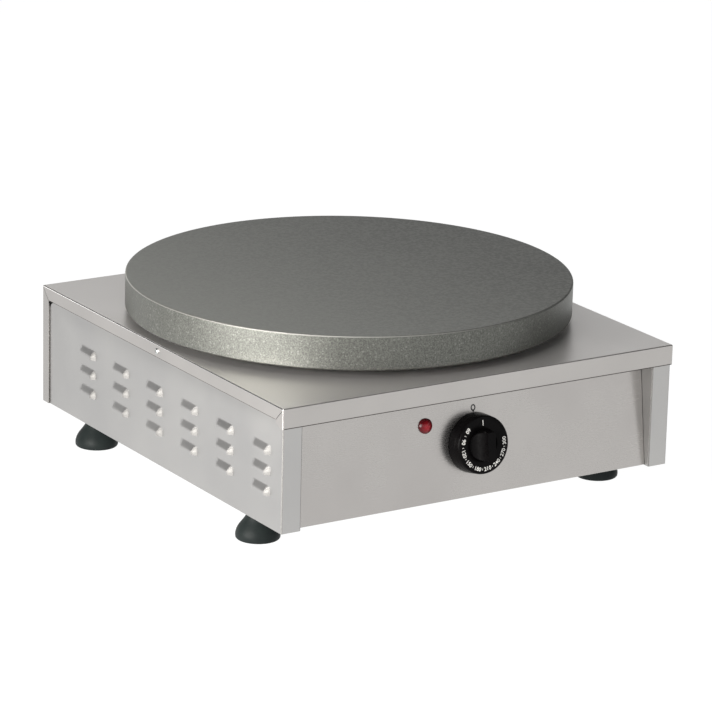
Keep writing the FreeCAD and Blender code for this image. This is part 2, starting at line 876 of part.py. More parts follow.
# Clamp bars: three bars hold both rings up, each on a bolt that is cast into the plate.
clamps = []
clamp_nuts = []
clamp_bolts = []
bar_middle = (outer_ring + inner_ring) / 2
bar_reach = outer_ring - inner_ring + element_tube * 2
for index, (way_x, way_y) in enumerate(((1, 0), (-1, 0), (0, -1))):
    tag = str(index)
    middle_x = bar_middle * way_x
    middle_y = plate_shift + bar_middle * way_y
    half_x = (bar_reach if way_x else clamp_width) / 2
    half_y = (bar_reach if way_y else clamp_width) / 2
    bar = block(
        "bar_body_" + tag,
        (middle_x - half_x, middle_y - half_y, clamp_level),
        (middle_x + half_x, middle_y + half_y, clamp_level + clamp_thickness),
    )
    bar_way = rod(
        "bar_way_" + tag,
        clamp_bolt + fit_gap,
        clamp_thickness * 3,
        (middle_x, middle_y, clamp_level - clamp_thickness),
    )
    clamps.append(carve("bar_" + tag, bar, [bar_way]))
    nut_floor = clamp_level - clamp_nut_height
    nut = hexagon(
        "clamp_nut_body_" + tag, clamp_nut_radius, clamp_nut_height, (middle_x, middle_y, nut_floor)
    )
    nut_way = rod(
        "clamp_nut_way_" + tag,
        clamp_bolt + fit_gap,
        clamp_nut_height * 2,
        (middle_x, middle_y, nut_floor - sheet),
    )
    clamp_nuts.append(carve("clamp_nut_" + tag, nut, [nut_way]))
    clamp_bolts.append(
        rod("clamp_bolt_" + tag, clamp_bolt, plate_under - nut_floor, (middle_x, middle_y, nut_floor))
    )
keep("element_clamps", group("element_clamps_group", clamps))
keep("clamp_nuts", group("clamp_nuts_group", clamp_nuts))
keep("clamp_studs", group("clamp_studs_group", clamp_bolts))

# Heat shield and its insulation: a shallow tray with a ceramic fibre disc in it.
capillary_x = bulb_length / 2
capillary_y = plate_shift - outer_ring - clamp_width
shield_tray = turned(
    "shield_tray",
    [
        (0, shield_level),
        (shield_radius, shield_level),
        (shield_radius, shield_level + insulation_thickness),
        (shield_radius - sheet, shield_level + insulation_thickness),
        (shield_radius - sheet, shield_level + sheet),
        (0, shield_level + sheet),
    ],
    (0, plate_shift, 0),
)
tray_ways = []
pad_ways = []
pad_floor = shield_level + sheet
for index, (leg_x, leg_y) in enumerate(legs):
    tag = str(index)
    tray_ways.append(
        rod("tray_way_" + tag, element_tube + pass_gap, sheet * 4, (leg_x, leg_y, shield_level - sheet))
    )
    pad_ways.append(
        rod(
            "pad_way_" + tag,
            element_tube + pass_gap,
            insulation_thickness * 2,
            (leg_x, leg_y, pad_floor - sheet),
        )
    )
for index, (post_x, post_y) in enumerate(posts):
    pad_ways.append(
        rod(
            "pad_post_way_" + str(index),
            sleeve_radius + pass_gap,
            insulation_thickness * 2,
            (post_x, post_y, pad_floor - sheet),
        )
    )
tray_ways.append(
    rod(
        "tray_tube_way",
        capillary_radius + pass_gap,
        sheet * 4,
        (capillary_x, capillary_y, shield_level - sheet),
    )
)
pad_ways.append(
    rod(
        "pad_tube_way",
        capillary_radius + pass_gap,
        insulation_thickness * 2,
        (capillary_x, capillary_y, pad_floor - sheet),
    )
)
keep("heat_shield", carve("heat_shield_cut", shield_tray, tray_ways))
pad_disc = rod(
    "pad_disc", shield_radius - sheet - lap_gap, insulation_thickness - sheet, (
        0, plate_shift, pad_floor
    )
)
keep("insulation_disc", carve("insulation_cut", pad_disc, pad_ways))

# Thermostat: its case behind the panel, two screws, the sensing bulb and its thin tube.
case = block(
    "thermostat_case",
    (-thermostat_width / 2, -thermostat_length / 2, -thermostat_depth - sheet),
    (thermostat_width / 2, thermostat_length / 2, -sheet),
)
bore_floor = -sheet - spindle_depth - lap_gap
case_bore = rod("case_bore", spindle_radius + running_gap, spindle_depth * 2, (0, 0, bore_floor))
case_tools = [case_bore]
for hand in (-1, 1):
    case_tools.append(
        rod(
            "case_screw_way_" + str(hand + 1),
            switch_screw_radius + fit_gap,
            screw_length * 2,
            (0, switch_screw_pitch / 2 * hand, -sheet - screw_length),
        )
    )
keep(
    "thermostat_body",
    on_panel(carve("thermostat_cut", case, case_tools), knob_across, knob_along, 0),
)
switch_screws = []
for hand in (-1, 1):
    tag = str(hand + 1)
    screw_y = switch_screw_pitch / 2 * hand
    shank = rod(
        "switch_shank_" + tag,
        switch_screw_radius,
        sheet + screw_length,
        (0, screw_y, -sheet - screw_length),
    )
    head = rod("switch_head_" + tag, switch_head_radius, switch_screw_radius, (0, screw_y, 0))
    switch_screws.append(join("switch_screw_" + tag, [shank, head]))
keep(
    "thermostat_screws",
    on_panel(group("thermostat_screws_group", switch_screws), knob_across, knob_along, 0),
)
bulb_level = plate_under - bulb_radius
bulb_y = plate_shift - bar_middle + clamp_width
keep(
    "thermostat_bulb",
    rod(
        "bulb", bulb_radius, bulb_length - capillary_radius, (-bulb_length / 2, bulb_y, bulb_level), "X"
    ),
)

# Spindle: a round shaft with a flat for the knob.
spindle_round = rod(
    "spindle_round", spindle_radius, spindle_reach + sheet + spindle_depth, (
        0, 0, -sheet - spindle_depth
    )
)
flat_cut = block(
    "spindle_flat",
    (-spindle_radius * 2, spindle_radius - spindle_flat, spindle_reach / 2),
    (spindle_radius * 2, spindle_radius * 2, spindle_reach * 2),
)
keep(
    "thermostat_spindle",
    on_panel(carve("spindle_cut", spindle_round, [flat_cut]), knob_across, knob_along, 0),
)

# Control knob: a hollow skirt that carries the scale, and a grip bar with scooped flanks.
face_level = knob_standoff + knob_skirt
grip_top = face_level + grip_height
knob_round = turned(
    "knob_round",
    [
        (0, knob_standoff + knob_wall),
        (hub_radius, knob_standoff + knob_wall),
        (hub_radius, face_level - knob_wall),
        (knob_radius - knob_wall, face_level - knob_wall),
        (knob_radius - knob_wall, knob_standoff),
        (knob_radius, knob_standoff),
        (knob_radius - knob_taper, face_level - knob_corner),
        (knob_radius - knob_taper - knob_corner, face_level, knob_corner_radius, 1),
        (grip_radius, face_level),
        (grip_radius - knob_wall / 2, grip_top),
        (0, grip_top),
    ],
)
scoops = []
for hand in (-1, 1):
    scoops.append(
        rod(
            "scoop_" + str(hand + 1),
            scoop_radius,
            grip_radius * 4,
            ((grip_width / 2 + scoop_radius) * hand, -grip_radius * 2, grip_top),
            "Y",
        )
    )
knob_bore = rod("knob_bore_round", spindle_radius + fit_gap, spindle_reach + fit_gap, (0, 0, 0))
knob_key = block(
    "knob_key",
    (-spindle_radius * 2, spindle_radius - spindle_flat + fit_gap, spindle_reach / 2 + fit_gap),
    (spindle_radius * 2, spindle_radius * 2, spindle_reach * 2),
)
knob_socket = carve("knob_socket", knob_bore, [knob_key])
keep(
    "control_knob",
    on_panel(carve("knob_cut", knob_round, scoops + [knob_socket]), knob_across, knob_along, 0),
)

# Pilot lamp: a domed red lens with a neck through the panel, a body and its nut.
dome_sphere = (lamp_radius * lamp_radius + lamp_dome * lamp_dome) / (lamp_dome * 2)
lens = turned(
    "lamp_lens_turned",
    [
        (0, -sheet - lamp_dome),
        (lamp_neck, -sheet - lamp_dome),
        (lamp_neck, 0),
        (lamp_radius, 0),
        (lamp_radius, sheet),
        (0, sheet + lamp_dome, dome_sphere, 1),
    ],
)
keep("lamp_lens", on_panel(lens, lamp_across, lamp_along, 0))
lamp_case = rod("lamp_case", lamp_neck, lamp_depth, (0, 0, -sheet - lamp_dome - lamp_depth))
lamp_tags = block(
    "lamp_tags",
    (-lamp_neck / 2, -sheet / 2, -sheet - lamp_dome - lamp_depth - lamp_neck),
    (lamp_neck / 2, sheet / 2, -lamp_dome - lamp_depth),
)
keep(
    "lamp_body", on_panel(join("lamp_body_joined", [lamp_case, lamp_tags]), lamp_across, lamp_along, 0)
)
lamp_ring = turned(
    "lamp_nut_turned",
    [
        (lamp_neck + fit_gap, -sheet - lamp_dome),
        (lamp_radius + sheet, -sheet - lamp_dome),
        (lamp_radius + sheet, -sheet),
        (lamp_neck + fit_gap, -sheet),
    ],
)
keep("lamp_nut", on_panel(lamp_ring, lamp_across, lamp_along, 0))

# Thin tube from the back of the thermostat case to the bulb: straight runs with rounded corners.
tube_out = sheet + thermostat_depth + tube_stub
tube_start_y = panel_foot + sine(panel_tilt) * knob_along + cosine(panel_tilt) * tube_out
tube_level = foot_height + cosine(panel_tilt) * knob_along - sine(panel_tilt) * tube_out
under_ring = clamp_level - clamp_thickness
tube_corners = [
    (knob_across, tube_start_y, tube_level),
    (capillary_x, tube_start_y, tube_level),
    (capillary_x, capillary_y, tube_level),
    (capillary_x, capillary_y, under_ring),
    (capillary_x, bulb_y, under_ring),
    (capillary_x, bulb_y, bulb_level),
]
tube_runs = [
    on_panel(
        rod("tube_stub_run", capillary_radius, tube_stub, (0, 0, 0)), knob_across, knob_along, -tube_out
    ),
    rod("tube_run_across", capillary_radius, capillary_x - knob_across, tube_corners[0], "X"),
    rod("tube_run_back", capillary_radius, capillary_y - tube_start_y, tube_corners[1], "Y"),
    rod("tube_run_up", capillary_radius, under_ring - tube_level, tube_corners[2]),
    rod("tube_run_in", capillary_radius, bulb_y - capillary_y, tube_corners[3], "Y"),
    rod("tube_run_top", capillary_radius, bulb_level - under_ring, tube_corners[4]),
]
for index, corner in enumerate(tube_corners):
    tube_runs.append(ball("tube_corner_" + str(index), capillary_radius, corner))
keep("capillary_tube", join("capillary_joined", tube_runs))

# Levelling feet: flared plastic feet on threaded studs that screw into nuts on the base plate.
foot_ceiling = base_level - lap_gap
foot_nuts = []
for place, (foot_x, foot_y) in feet.items():
    foot = turned(
        "foot_turned_" + place,
        [
            (0, 0),
            (foot_sole, 0),
            (foot_radius, foot_radius - foot_sole),
            (foot_radius, foot_rim),
            (foot_shoulder, foot_shoulder_up, foot_brim, 1),
            (foot_neck, foot_neck_up, foot_flare, -1),
            (foot_neck, foot_ceiling),
            (stud_radius + fit_gap, foot_ceiling),
            (stud_radius + fit_gap, stud_seat),
            (0, stud_seat),
        ],
        (foot_x, foot_y, 0),
    )
    keep("foot_" + place, foot)
    stud = rod(
        "stud_body_" + place, stud_radius, base_top + stud_top - stud_seat, (foot_x, foot_y, stud_seat)
    )
    keep("foot_stud_" + place, stud)
    nut = hexagon(
        "foot_nut_body_" + place, foot_nut_radius, foot_nut_height, (foot_x, foot_y, base_top)
    )
    nut_way = rod(
        "foot_nut_way_" + place,
        stud_radius + running_gap,
        foot_nut_height * 2,
        (foot_x, foot_y, base_top - sheet),
    )
    foot_nuts.append(carve("foot_nut_" + place, nut, [nut_way]))
keep("foot_nuts", group("foot_nuts_group", foot_nuts))

# Screws: two in the side bands and ten up through the lips into the base plate.
cover_screws = []
for hand in (-1, 1):
    tag = str(hand + 1)
    start_x = half_width if hand > 0 else -half_width - screw_head_height
    shank_x = half_width - screw_length if hand > 0 else -half_width
    head = rod(
        "band_head_" + tag, screw_head_radius, screw_head_height, (start_x, 0, cover_screw_level), "X"
    )
    shank = rod("band_shank_" + tag, screw_radius, screw_length, (shank_x, 0, cover_screw_level), "X")
    cover_screws.append(join("band_screw_" + tag, [head, shank]))
keep("cover_screws", group("cover_screws_group", cover_screws))
base_screws = []
for index, (screw_x, screw_y) in enumerate(base_screws_at):
    tag = str(index)
    head = rod(
        "base_head_" + tag,
        screw_head_radius,
        screw_head_height,
        (screw_x, screw_y, foot_height - screw_head_height),
    )
    shank = rod("base_shank_" + tag, screw_radius, screw_length, (screw_x, screw_y, foot_height))
    base_screws.append(join("base_screw_" + tag, [head, shank]))
keep("base_screws", group("base_screws_group", base_screws))

# Cord gland: a threaded collar through the rear cover with a hexagonal flange and a domed nose.
gland_hexagon = hexagon(
    "gland_hexagon", gland_hex, gland_collar, (gland_across, half_depth, gland_level), "Y"
)
gland_barrel = rod(
    "gland_barrel", gland_thread, gland_tail + sheet, (gland_across, half_depth - gland_tail - sheet, gland_level), "Y"
)
gland_nose = document.addObject("Part::Cone", "gland_nose")
bind(gland_nose, "Radius1", gland_nose_radius)
bind(gland_nose, "Radius2", gland_tip_radius)
bind(gland_nose, "Height", gland_dome)
gland_nose.Placement = FreeCAD.Placement(
    FreeCAD.Vector(), FreeCAD.Rotation(FreeCAD.Vector(1, 0, 0), -90)
)
seat(gland_nose, (gland_across, half_depth + gland_collar, gland_level))
gland_solid = join("gland_solid", [gland_hexagon, gland_barrel, gland_nose])
gland_through = rod(
    "gland_through",
    gland_bore,
    (gland_tail + gland_collar + gland_dome) * 2,
    (gland_across, half_depth - gland_tail * 2, gland_level),
    "Y",
)
keep("cord_gland", carve("cord_gland_cut", gland_solid, [gland_through]))
gland_ring = hexagon(
    "gland_ring", gland_hex, gland_collar, (gland_across, back_inside - gland_collar, gland_level), "Y"
)
gland_ring_way = rod(
    "gland_ring_way", gland_thread + fit_gap, gland_collar * 3, (gland_across, back_inside - gland_collar * 2, gland_level), "Y"
)
keep("gland_nut", carve("gland_nut_cut", gland_ring, [gland_ring_way]))

# Terminal block: a moulded block on the base plate with three screw wells.
block_x = gland_across - block_length
block_y = half_depth - block_inset
well_ways = []
for index in range(terminal_ways):
    well_x = block_x + block_length * (index * 2 + 1) / (terminal_ways * 2)
    well_ways.append(
        rod(
            "well_" + str(index),
            well_radius,
            block_height,
            (well_x, block_y + block_width / 2, base_top + block_height / 2),
        )
    )
terminal_body = block(
    "terminal_body",
    (block_x, block_y, base_top),
    (block_x + block_length, block_y + block_width, base_top + block_height),
)
keep("terminal_block", carve("terminal_block_cut", terminal_body, well_ways))

# Work everything out, look for failures and write each sub-part as a STEP file
document.recompute()
for item in document.Objects:
    if "Invalid" in item.State or "Error" in item.State:
        raise RuntimeError("failed: " + item.Name + " " + str(item.State))
for node, item in pieces.items():
    if item.Shape.isNull() or not item.Shape.isValid() or not item.Shape.Solids:
        raise RuntimeError("bad shape: " + node)
for node, item in pieces.items():
    item.Shape.exportStep(os.path.join("parts", node + ".step"))
print(len(pieces), "sub-parts written")
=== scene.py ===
import json
import math

import bmesh
import bpy
from mathutils import Matrix, Vector


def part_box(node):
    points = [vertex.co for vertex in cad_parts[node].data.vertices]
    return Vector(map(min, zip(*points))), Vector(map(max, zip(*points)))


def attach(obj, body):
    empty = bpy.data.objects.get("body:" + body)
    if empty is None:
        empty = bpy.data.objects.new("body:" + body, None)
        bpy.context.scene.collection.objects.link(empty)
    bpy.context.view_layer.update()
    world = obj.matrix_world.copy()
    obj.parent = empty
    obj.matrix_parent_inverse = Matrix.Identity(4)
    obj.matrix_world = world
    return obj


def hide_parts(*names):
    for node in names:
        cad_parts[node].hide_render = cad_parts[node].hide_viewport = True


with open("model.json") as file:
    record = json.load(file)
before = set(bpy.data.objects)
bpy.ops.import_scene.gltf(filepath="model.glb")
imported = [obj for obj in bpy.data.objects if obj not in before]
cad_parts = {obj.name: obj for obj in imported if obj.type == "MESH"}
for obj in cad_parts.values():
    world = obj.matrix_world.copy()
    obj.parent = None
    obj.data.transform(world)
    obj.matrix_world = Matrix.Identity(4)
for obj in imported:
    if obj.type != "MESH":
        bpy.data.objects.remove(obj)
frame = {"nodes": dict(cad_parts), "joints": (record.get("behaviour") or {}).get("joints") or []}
for spare in ("Cube", "Light", "Camera"):
    if spare in bpy.data.objects:
        bpy.data.objects.remove(bpy.data.objects[spare])
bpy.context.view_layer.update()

# Base plate, heat shield and clamp bars: zinc-coated steel, cut and punched flat. Hot-dip
# zinc cools in broad pale crystals, so the sheet is faintly patchy and a little cloudy.
mm = 0.001
crystal_mm = 7


def colour(code):
    """A hex sRGB colour as linear light."""
    channels = []
    for start in (0, 2, 4):
        level = int(code[start:start + 2], 16) / 255
        channels.append(level / 12.92 if level <= 0.04045 else ((level + 0.055) / 1.055) ** 2.4)
    return (*channels, 1.0)


def add(tree, kind, sockets=None, **settings):
    """One node; a socket is given a value or another node's output."""
    made = tree.nodes.new(kind)
    for name, value in settings.items():
        setattr(made, name, value)
    for name, value in (sockets or {}).items():
        if isinstance(value, bpy.types.NodeSocket):
            tree.links.new(value, made.inputs[name])
        else:
            made.inputs[name].default_value = value
    return made


def new_finish(name):
    """An empty material and its tree of nodes."""
    material = bpy.data.materials.new(name)
    material.use_nodes = True
    material.node_tree.nodes.clear()
    return material, material.node_tree


def coat(tree, sockets):
    """The shader that ends a finish."""
    shader = add(tree, "ShaderNodeBsdfPrincipled", sockets)
    add(tree, "ShaderNodeOutputMaterial", {"Surface": shader.outputs["BSDF"]})


def object_place(tree):
    return add(tree, "ShaderNodeTexCoord").outputs["Object"]


def clouds(tree, place, size_mm, detail=2.0):
    """Soft noise whose lumps are about the given size across."""
    sockets = {"Vector": place, "Scale": 1 / (size_mm * mm), "Detail": detail}
    return add(tree, "ShaderNodeTexNoise", sockets).outputs[0]


def ranged(tree, value, low, high, start=0.0, end=1.0):
    """From start to end as the value goes from low to high, and held beyond."""
    sockets = {"Value": value, "From Min": low, "From Max": high, "To Min": start, "To Max": end}
    return add(tree, "ShaderNodeMapRange", sockets).outputs["Result"]


def blend(tree, share, first, second):
    """One colour turning into another as the share goes from 0 to 1."""
    return add(tree, "ShaderNodeMix", {0: share, 6: first, 7: second}, data_type="RGBA").outputs[2]


def relief(tree, height, depth_mm, strength):
    """The bumps of a height pattern, about as deep as given."""
    sockets = {"Strength": strength, "Distance": depth_mm * mm, "Height": height}
    return add(tree, "ShaderNodeBump", sockets).outputs["Normal"]


def uneven_shine(tree, place, patch_mm, smooth, rough):
    """Roughness that drifts between two levels, patch by patch."""
    return ranged(tree, clouds(tree, place, patch_mm), 0.3, 0.7, smooth, rough)


def uneven_skin(tree, place, grain_mm, depth_mm, strength):
    """A skin that rises and falls by about the depth given."""
    return relief(tree, clouds(tree, place, grain_mm), depth_mm, strength)


def dress(material, *names):
    """Give nodes of the frame a finish."""
    for name in names:
        slots = frame["nodes"][name].data.materials
        slots.clear()
        slots.append(material)


plated_steel, tree = new_finish("hot_dip_zinc_sheet")
place = object_place(tree)
crystals = add(tree, "ShaderNodeTexVoronoi", {"Vector": place, "Scale": 1 / (crystal_mm * mm)})
crystal_tone = add(tree, "ShaderNodeSeparateColor", {"Color": crystals.outputs["Color"]}).outputs[0]
coat(tree, {
    "Base Color": blend(tree, crystal_tone, colour("b4b8ba"), colour("c6cacb")),
    "Metallic": 1.0,
    "Roughness": uneven_shine(tree, place, patch_mm=12, smooth=0.34, rough=0.5),
    "Normal": uneven_skin(tree, place, grain_mm=1.5, depth_mm=0.02, strength=0.4),
})
dress(plated_steel, "base_plate", "heat_shield", "element_clamps")

# Fastenings: steel studs, bolts and nuts, thread-rolled and plated with bright zinc, which leaves
# them smooth and silvery. They hold the feet, the plate's posts and the elements' clamp bars.


def two_tone(tree, place, patch_mm, first, second):
    """A colour that drifts between two tones, patch by patch."""
    return blend(tree, clouds(tree, place, patch_mm), colour(first), colour(second))


bright_zinc, tree = new_finish("bright_zinc_plate")
place = object_place(tree)
coat(tree, {
    "Base Color": two_tone(tree, place, patch_mm=3, first="c3c6c8", second="d2d2cc"),
    "Metallic": 1.0,
    "Roughness": uneven_shine(tree, place, patch_mm=2, smooth=0.2, rough=0.32),
    "Normal": uneven_skin(tree, place, grain_mm=0.6, depth_mm=0.01, strength=0.4),
})
for corner in ("front_left", "front_right", "back_left", "back_right"):
    dress(bright_zinc, "foot_stud_" + corner)
dress(bright_zinc, "foot_nuts", "post_bolts", "clamp_nuts", "clamp_studs")

# Sheet steel walls: 1 mm stainless with a fine satin grain that runs along each sheet and turns
# with it over the folds. The rear cover wraps round both back corners, and the front panel slopes.
# The grain is drawn wider than the real one, which is too fine to show.
grain_long_mm = 45
grain_wide_mm = 0.5
grain_deep_mm = 0.001
smudge_mm = 85
filmed_metallic = 0.72
fold_roughness_share = 0.4
hood_end_roughness = 0.28
streak_roughness = 0.015


def worked(tree, operation, *values):
    """The result of one sum."""
    return add(tree, "ShaderNodeMath", dict(enumerate(values)), operation=operation).outputs[0]


def satin_sheet(name, grain_runs_across, dull, clean, smooth, rough, top=None):
    """Stainless sheet; its grain runs across the appliance, or else from front to back.

    A sheet with a tone of its own on top is painted that tone there, painted light on its top, and is
    less metallic there, filmed by cooking. Its bends to the sides are made smoother and painted near
    white: a painted highlight along the folds. On the others the ends of the louvres, where the sheet
    is drawn hardest, are matt and painted darker: painted shade over their highlight.
    """
    material, tree = new_finish(name)
    coordinates = add(tree, "ShaderNodeTexCoord")
    at = add(tree, "ShaderNodeSeparateXYZ", {0: coordinates.outputs["Object"]}).outputs
    facing = add(tree, "ShaderNodeSeparateXYZ", {0: coordinates.outputs["Normal"]}).outputs
    if grain_runs_across:
        sideways = worked(tree, "ABSOLUTE", facing["X"])
        upright = worked(tree, "SUBTRACT", 1.0, sideways)
        across_grain = worked(tree, "MULTIPLY_ADD", at["Z"], upright, at["Y"])
        with_grain = worked(tree, "MULTIPLY_ADD", at["Z"], sideways, at["X"])
    else:
        lying = worked(tree, "ABSOLUTE", facing["Z"])
        across_grain = worked(tree, "MULTIPLY_ADD", at["X"], lying, at["Z"])
        with_grain = worked(tree, "ADD", at["X"], at["Y"])
    streak_place = add(tree, "ShaderNodeCombineXYZ", {
        "X": worked(tree, "DIVIDE", with_grain, grain_long_mm * mm),
        "Y": worked(tree, "DIVIDE", across_grain, grain_wide_mm * mm),
    }).outputs[0]
    streaks = add(tree, "ShaderNodeTexNoise", {"Vector": streak_place, "Scale": 1.0}).outputs[0]
    smudges = clouds(tree, coordinates.outputs["Object"], smudge_mm, detail=3.0)
    streak_shine = ranged(tree, streaks, 0.3, 0.7, -streak_roughness, streak_roughness)
    shine = worked(tree, "ADD", streak_shine, ranged(tree, smudges, 0.35, 0.65, smooth, rough))
    tone = blend(tree, ranged(tree, smudges, 0.3, 0.7), colour(dull), colour(clean))
    metal = 1.0
    # The ranges below are of the surface's own direction, from -1 to 1 along an axis.
    if top:
        lying_flat = ranged(tree, facing["Z"], 0.75, 0.97)
        metal = ranged(tree, lying_flat, 0.0, 1.0, 1.0, filmed_metallic)
        # Paler tone on the top faces: painted light on the top.
        tone = blend(tree, lying_flat, tone, colour(top))
        in_bend = ranged(tree, facing["Z"], 0.06, 0.25)
        to_a_side = ranged(tree, worked(tree, "ABSOLUTE", facing["X"]), 0.2, 0.5)
        fold_highlight = worked(tree, "MULTIPLY", in_bend, to_a_side)
        # Near-white tone in the side bends: painted highlight along the folds.
        tone = blend(tree, fold_highlight, tone, colour("f2f0ee"))
        polish = ranged(tree, fold_highlight, 0.0, 1.0, 1.0, fold_roughness_share)
        shine = worked(tree, "MULTIPLY", shine, polish)
    if not grain_runs_across:
        turned_forward = ranged(tree, facing["Y"], -0.06, -0.3)
        not_the_flange = ranged(tree, facing["Y"], -0.98, -0.9)
        drawn = worked(tree, "MULTIPLY", turned_forward, not_the_flange)
        # Darker tone on the forward-facing louvre ends: painted shade over their highlight.
        tone = blend(tree, drawn, tone, colour("858482"))
        shine = worked(tree, "ADD", shine, worked(tree, "MULTIPLY", drawn, hood_end_roughness))
    coat(tree, {
        "Base Color": tone,
        "Metallic": metal,
        "Roughness": shine,
        "Normal": relief(tree, streaks, grain_deep_mm, 0.2),
    })
    return material


panel_steel = satin_sheet("satin_stainless_panel", grain_runs_across=True, dull="aba8a5",
                          clean="b2afac", smooth=0.24, rough=0.29)
# The cover's paler top tone is painted light on its top.
cover_steel = satin_sheet("satin_stainless_cover", grain_runs_across=True, dull="b0adaa",
                          clean="b7b4b1", smooth=0.33, rough=0.37, top="dfdcd9")
side_steel = satin_sheet("satin_stainless_side", grain_runs_across=False, dull="acabaa",
                         clean="b3b2b0", smooth=0.34, rough=0.4)
dress(panel_steel, "front_panel", "rear_cover")
dress(cover_steel, "top_cover")

# Side panels: one folded sheet each, with a front flange, a return that runs back past the sloping
# panel, a lip below, and three rows of louvres that are lanced and drawn out by a press tool. The
# levels of a hood are below its top edge, and closest where the sheet bends.
sheet_mm = 1.0
fold_mm = 1.3
fold_steps = 5
support_mm = 0.5
hood_rise_mm = 3.5
hood_half_mm = 14.5
hood_flat_mm = 8.5
hood_height_mm = 9.0
hood_margin_mm = 1.0
hood_end_steps = 9
hood_levels_mm = (8.4, 7.8, 7.3, 6.9, 6.5, 6.1, 5.7, 5.2, 4.4, 3.2, 2.0, 1.2, 0.6, 0.2, -0.2, -0.6)
top_bend_mm = 1.6
mouth_bend_mm, mouth_bend_below_mm = 2.8, 4.6
hood_columns, hood_rows = 6, 3
hood_pitch_mm, row_pitch_mm = 60.8, 18.1
hood_middle_mm, hood_top_mm = -24.7, 102.0
cell_over_mm = (row_pitch_mm - hood_height_mm) / 2
notch_mm = 6.5
notch_steps = 6
joggle_mm, joggle_high_mm = 0.9, 1.4
joggle_over_band_mm = 6.3
return_lap_mm = 15.7
return_lean_degrees = 7.3
lip_mm = 10.0


def ease(value):
    """A soft start and end between 0 and 1."""
    share = min(max(value, 0.0), 1.0)
    return share * share * (3 - 2 * share)


def smooth_with_creases(bm, limit_degrees=38):
    """Round shading, with a crease wherever faces meet more sharply than the limit."""
    for face in bm.faces:
        face.smooth = True
    for edge in bm.edges:
        edge.smooth = edge.calc_face_angle(0) < math.radians(limit_degrees)


def from_bm(name, bm, material=None):
    """A bmesh as an object at the origin."""
    mesh = bpy.data.meshes.new(name)
    bm.to_mesh(mesh)
    bm.free()
    if material:
        mesh.materials.append(material)
    made = bpy.data.objects.new(name, mesh)
    bpy.context.collection.objects.link(made)
    return made


def plain(name, material, sources, spare=()):
    """The evaluated sources as one plain mesh; they and the spare objects then go."""
    bpy.context.view_layer.update()
    graph = bpy.context.evaluated_depsgraph_get()
    bm = bmesh.new()
    for source in sources:
        mesh = bpy.data.meshes.new_from_object(source.evaluated_get(graph))
        mesh.transform(source.matrix_world)
        bm.from_mesh(mesh)
        bpy.data.meshes.remove(mesh)
    for gone in (*sources, *spare):
        bpy.data.objects.remove(gone)
    for face in bm.faces:
        face.material_index = 0
    smooth_with_creases(bm)
    return from_bm(name, bm, material)


def new_tree(name, **inputs):
    """A tree of geometry nodes and its named inputs."""
    tree = bpy.data.node_groups.new(name, "GeometryNodeTree")
    tree.interface.new_socket("Geometry", in_out="INPUT", socket_type="NodeSocketGeometry")
    tree.interface.new_socket("Geometry", in_out="OUTPUT", socket_type="NodeSocketGeometry")
    for label, kind in inputs.items():
        tree.interface.new_socket(label, in_out="INPUT", socket_type="NodeSocket" + kind)
    return tree, add(tree, "NodeGroupInput").outputs


def end_tree(tree, geometry, finish):
    """Real copies in one finish, as the last step of a tree."""
    real = add(tree, "GeometryNodeRealizeInstances", {"Geometry": geometry}).outputs[0]
    merged = add(tree, "GeometryNodeMergeByDistance", {"Geometry": real, "Distance": 0.01 * mm})
    painted = add(tree, "GeometryNodeSetMaterial", {"Geometry": merged.outputs[0], "Material": finish})
    add(tree, "NodeGroupOutput", {"Geometry": painted.outputs[0]})


def grow(obj, tree, **values):
    """Put a tree on an object and fill in its named inputs."""
    modifier = obj.modifiers.new(tree.name, "NODES")
    modifier.node_group = tree
    for item in tree.interface.items_tree:
        if item.in_out == "INPUT" and item.name in values:
            modifier[item.identifier] = values[item.name]


def louvre_cell():
    """One louvre and the flat sheet round it, facing -X, with the hood's top edge at the origin."""
    bm = bmesh.new()
    across = [hood_half_mm + hood_margin_mm]
    for step in range(hood_end_steps + 1):
        across.append(hood_half_mm - (hood_half_mm - hood_flat_mm) * step / hood_end_steps)
    across += [hood_flat_mm / 3]
    across += [-value for value in reversed(across)]
    down = [hood_height_mm, *hood_levels_mm]
    drawn = [0.0]
    for lower, upper in zip(reversed(down[:-1]), reversed(down[1:])):
        middle = (lower + upper) / 2
        top_bend = ease((middle - down[-1]) / top_bend_mm)
        mouth_bend = 1 - ease((middle - mouth_bend_below_mm) / mouth_bend_mm)
        drawn.append(drawn[-1] + top_bend * mouth_bend * (lower - upper))
    drawn = [value / drawn[-1] for value in reversed(drawn)]
    upper_rows = []
    for level, share in zip(down, drawn):
        row = []
        for value in across:
            end = min(max((hood_half_mm - abs(value)) / (hood_half_mm - hood_flat_mm), 0.0), 1.0)
            out = hood_rise_mm * share * math.sin(end * math.pi / 2)
            row.append(bm.verts.new((-out * mm, value * mm, -level * mm)))
        upper_rows.append(row)
    slot_row = []
    floor_row = []
    for index, value in enumerate(across):
        at_end = index < 2 or index > len(across) - 3
        slot_row.append(upper_rows[0][index] if at_end
                        else bm.verts.new((0, value * mm, -hood_height_mm * mm)))
        floor_row.append(bm.verts.new((0, value * mm, -(hood_height_mm + hood_margin_mm) * mm)))
    for lower, upper in [(floor_row, slot_row)] + list(zip(upper_rows[:-1], upper_rows[1:])):
        for index in range(len(across) - 1):
            bm.faces.new((lower[index], lower[index + 1], upper[index + 1], upper[index]))
    corners = []
    for side, level in ((1, -1), (-1, -1), (-1, 1), (1, 1)):
        height = cell_over_mm if level > 0 else cell_over_mm - row_pitch_mm
        corners.append(bm.verts.new((0, side * hood_pitch_mm / 2 * mm, height * mm)))
    columns = [floor_row] + upper_rows
    bm.faces.new([corners[0], corners[1]] + floor_row[::-1])
    bm.faces.new(upper_rows[-1] + [corners[2], corners[3]])
    bm.faces.new([corners[0]] + [row[0] for row in columns] + [corners[3]])
    bm.faces.new([corners[1], corners[2]] + [row[-1] for row in reversed(columns)])
    return from_bm("louvre_cell", bm)


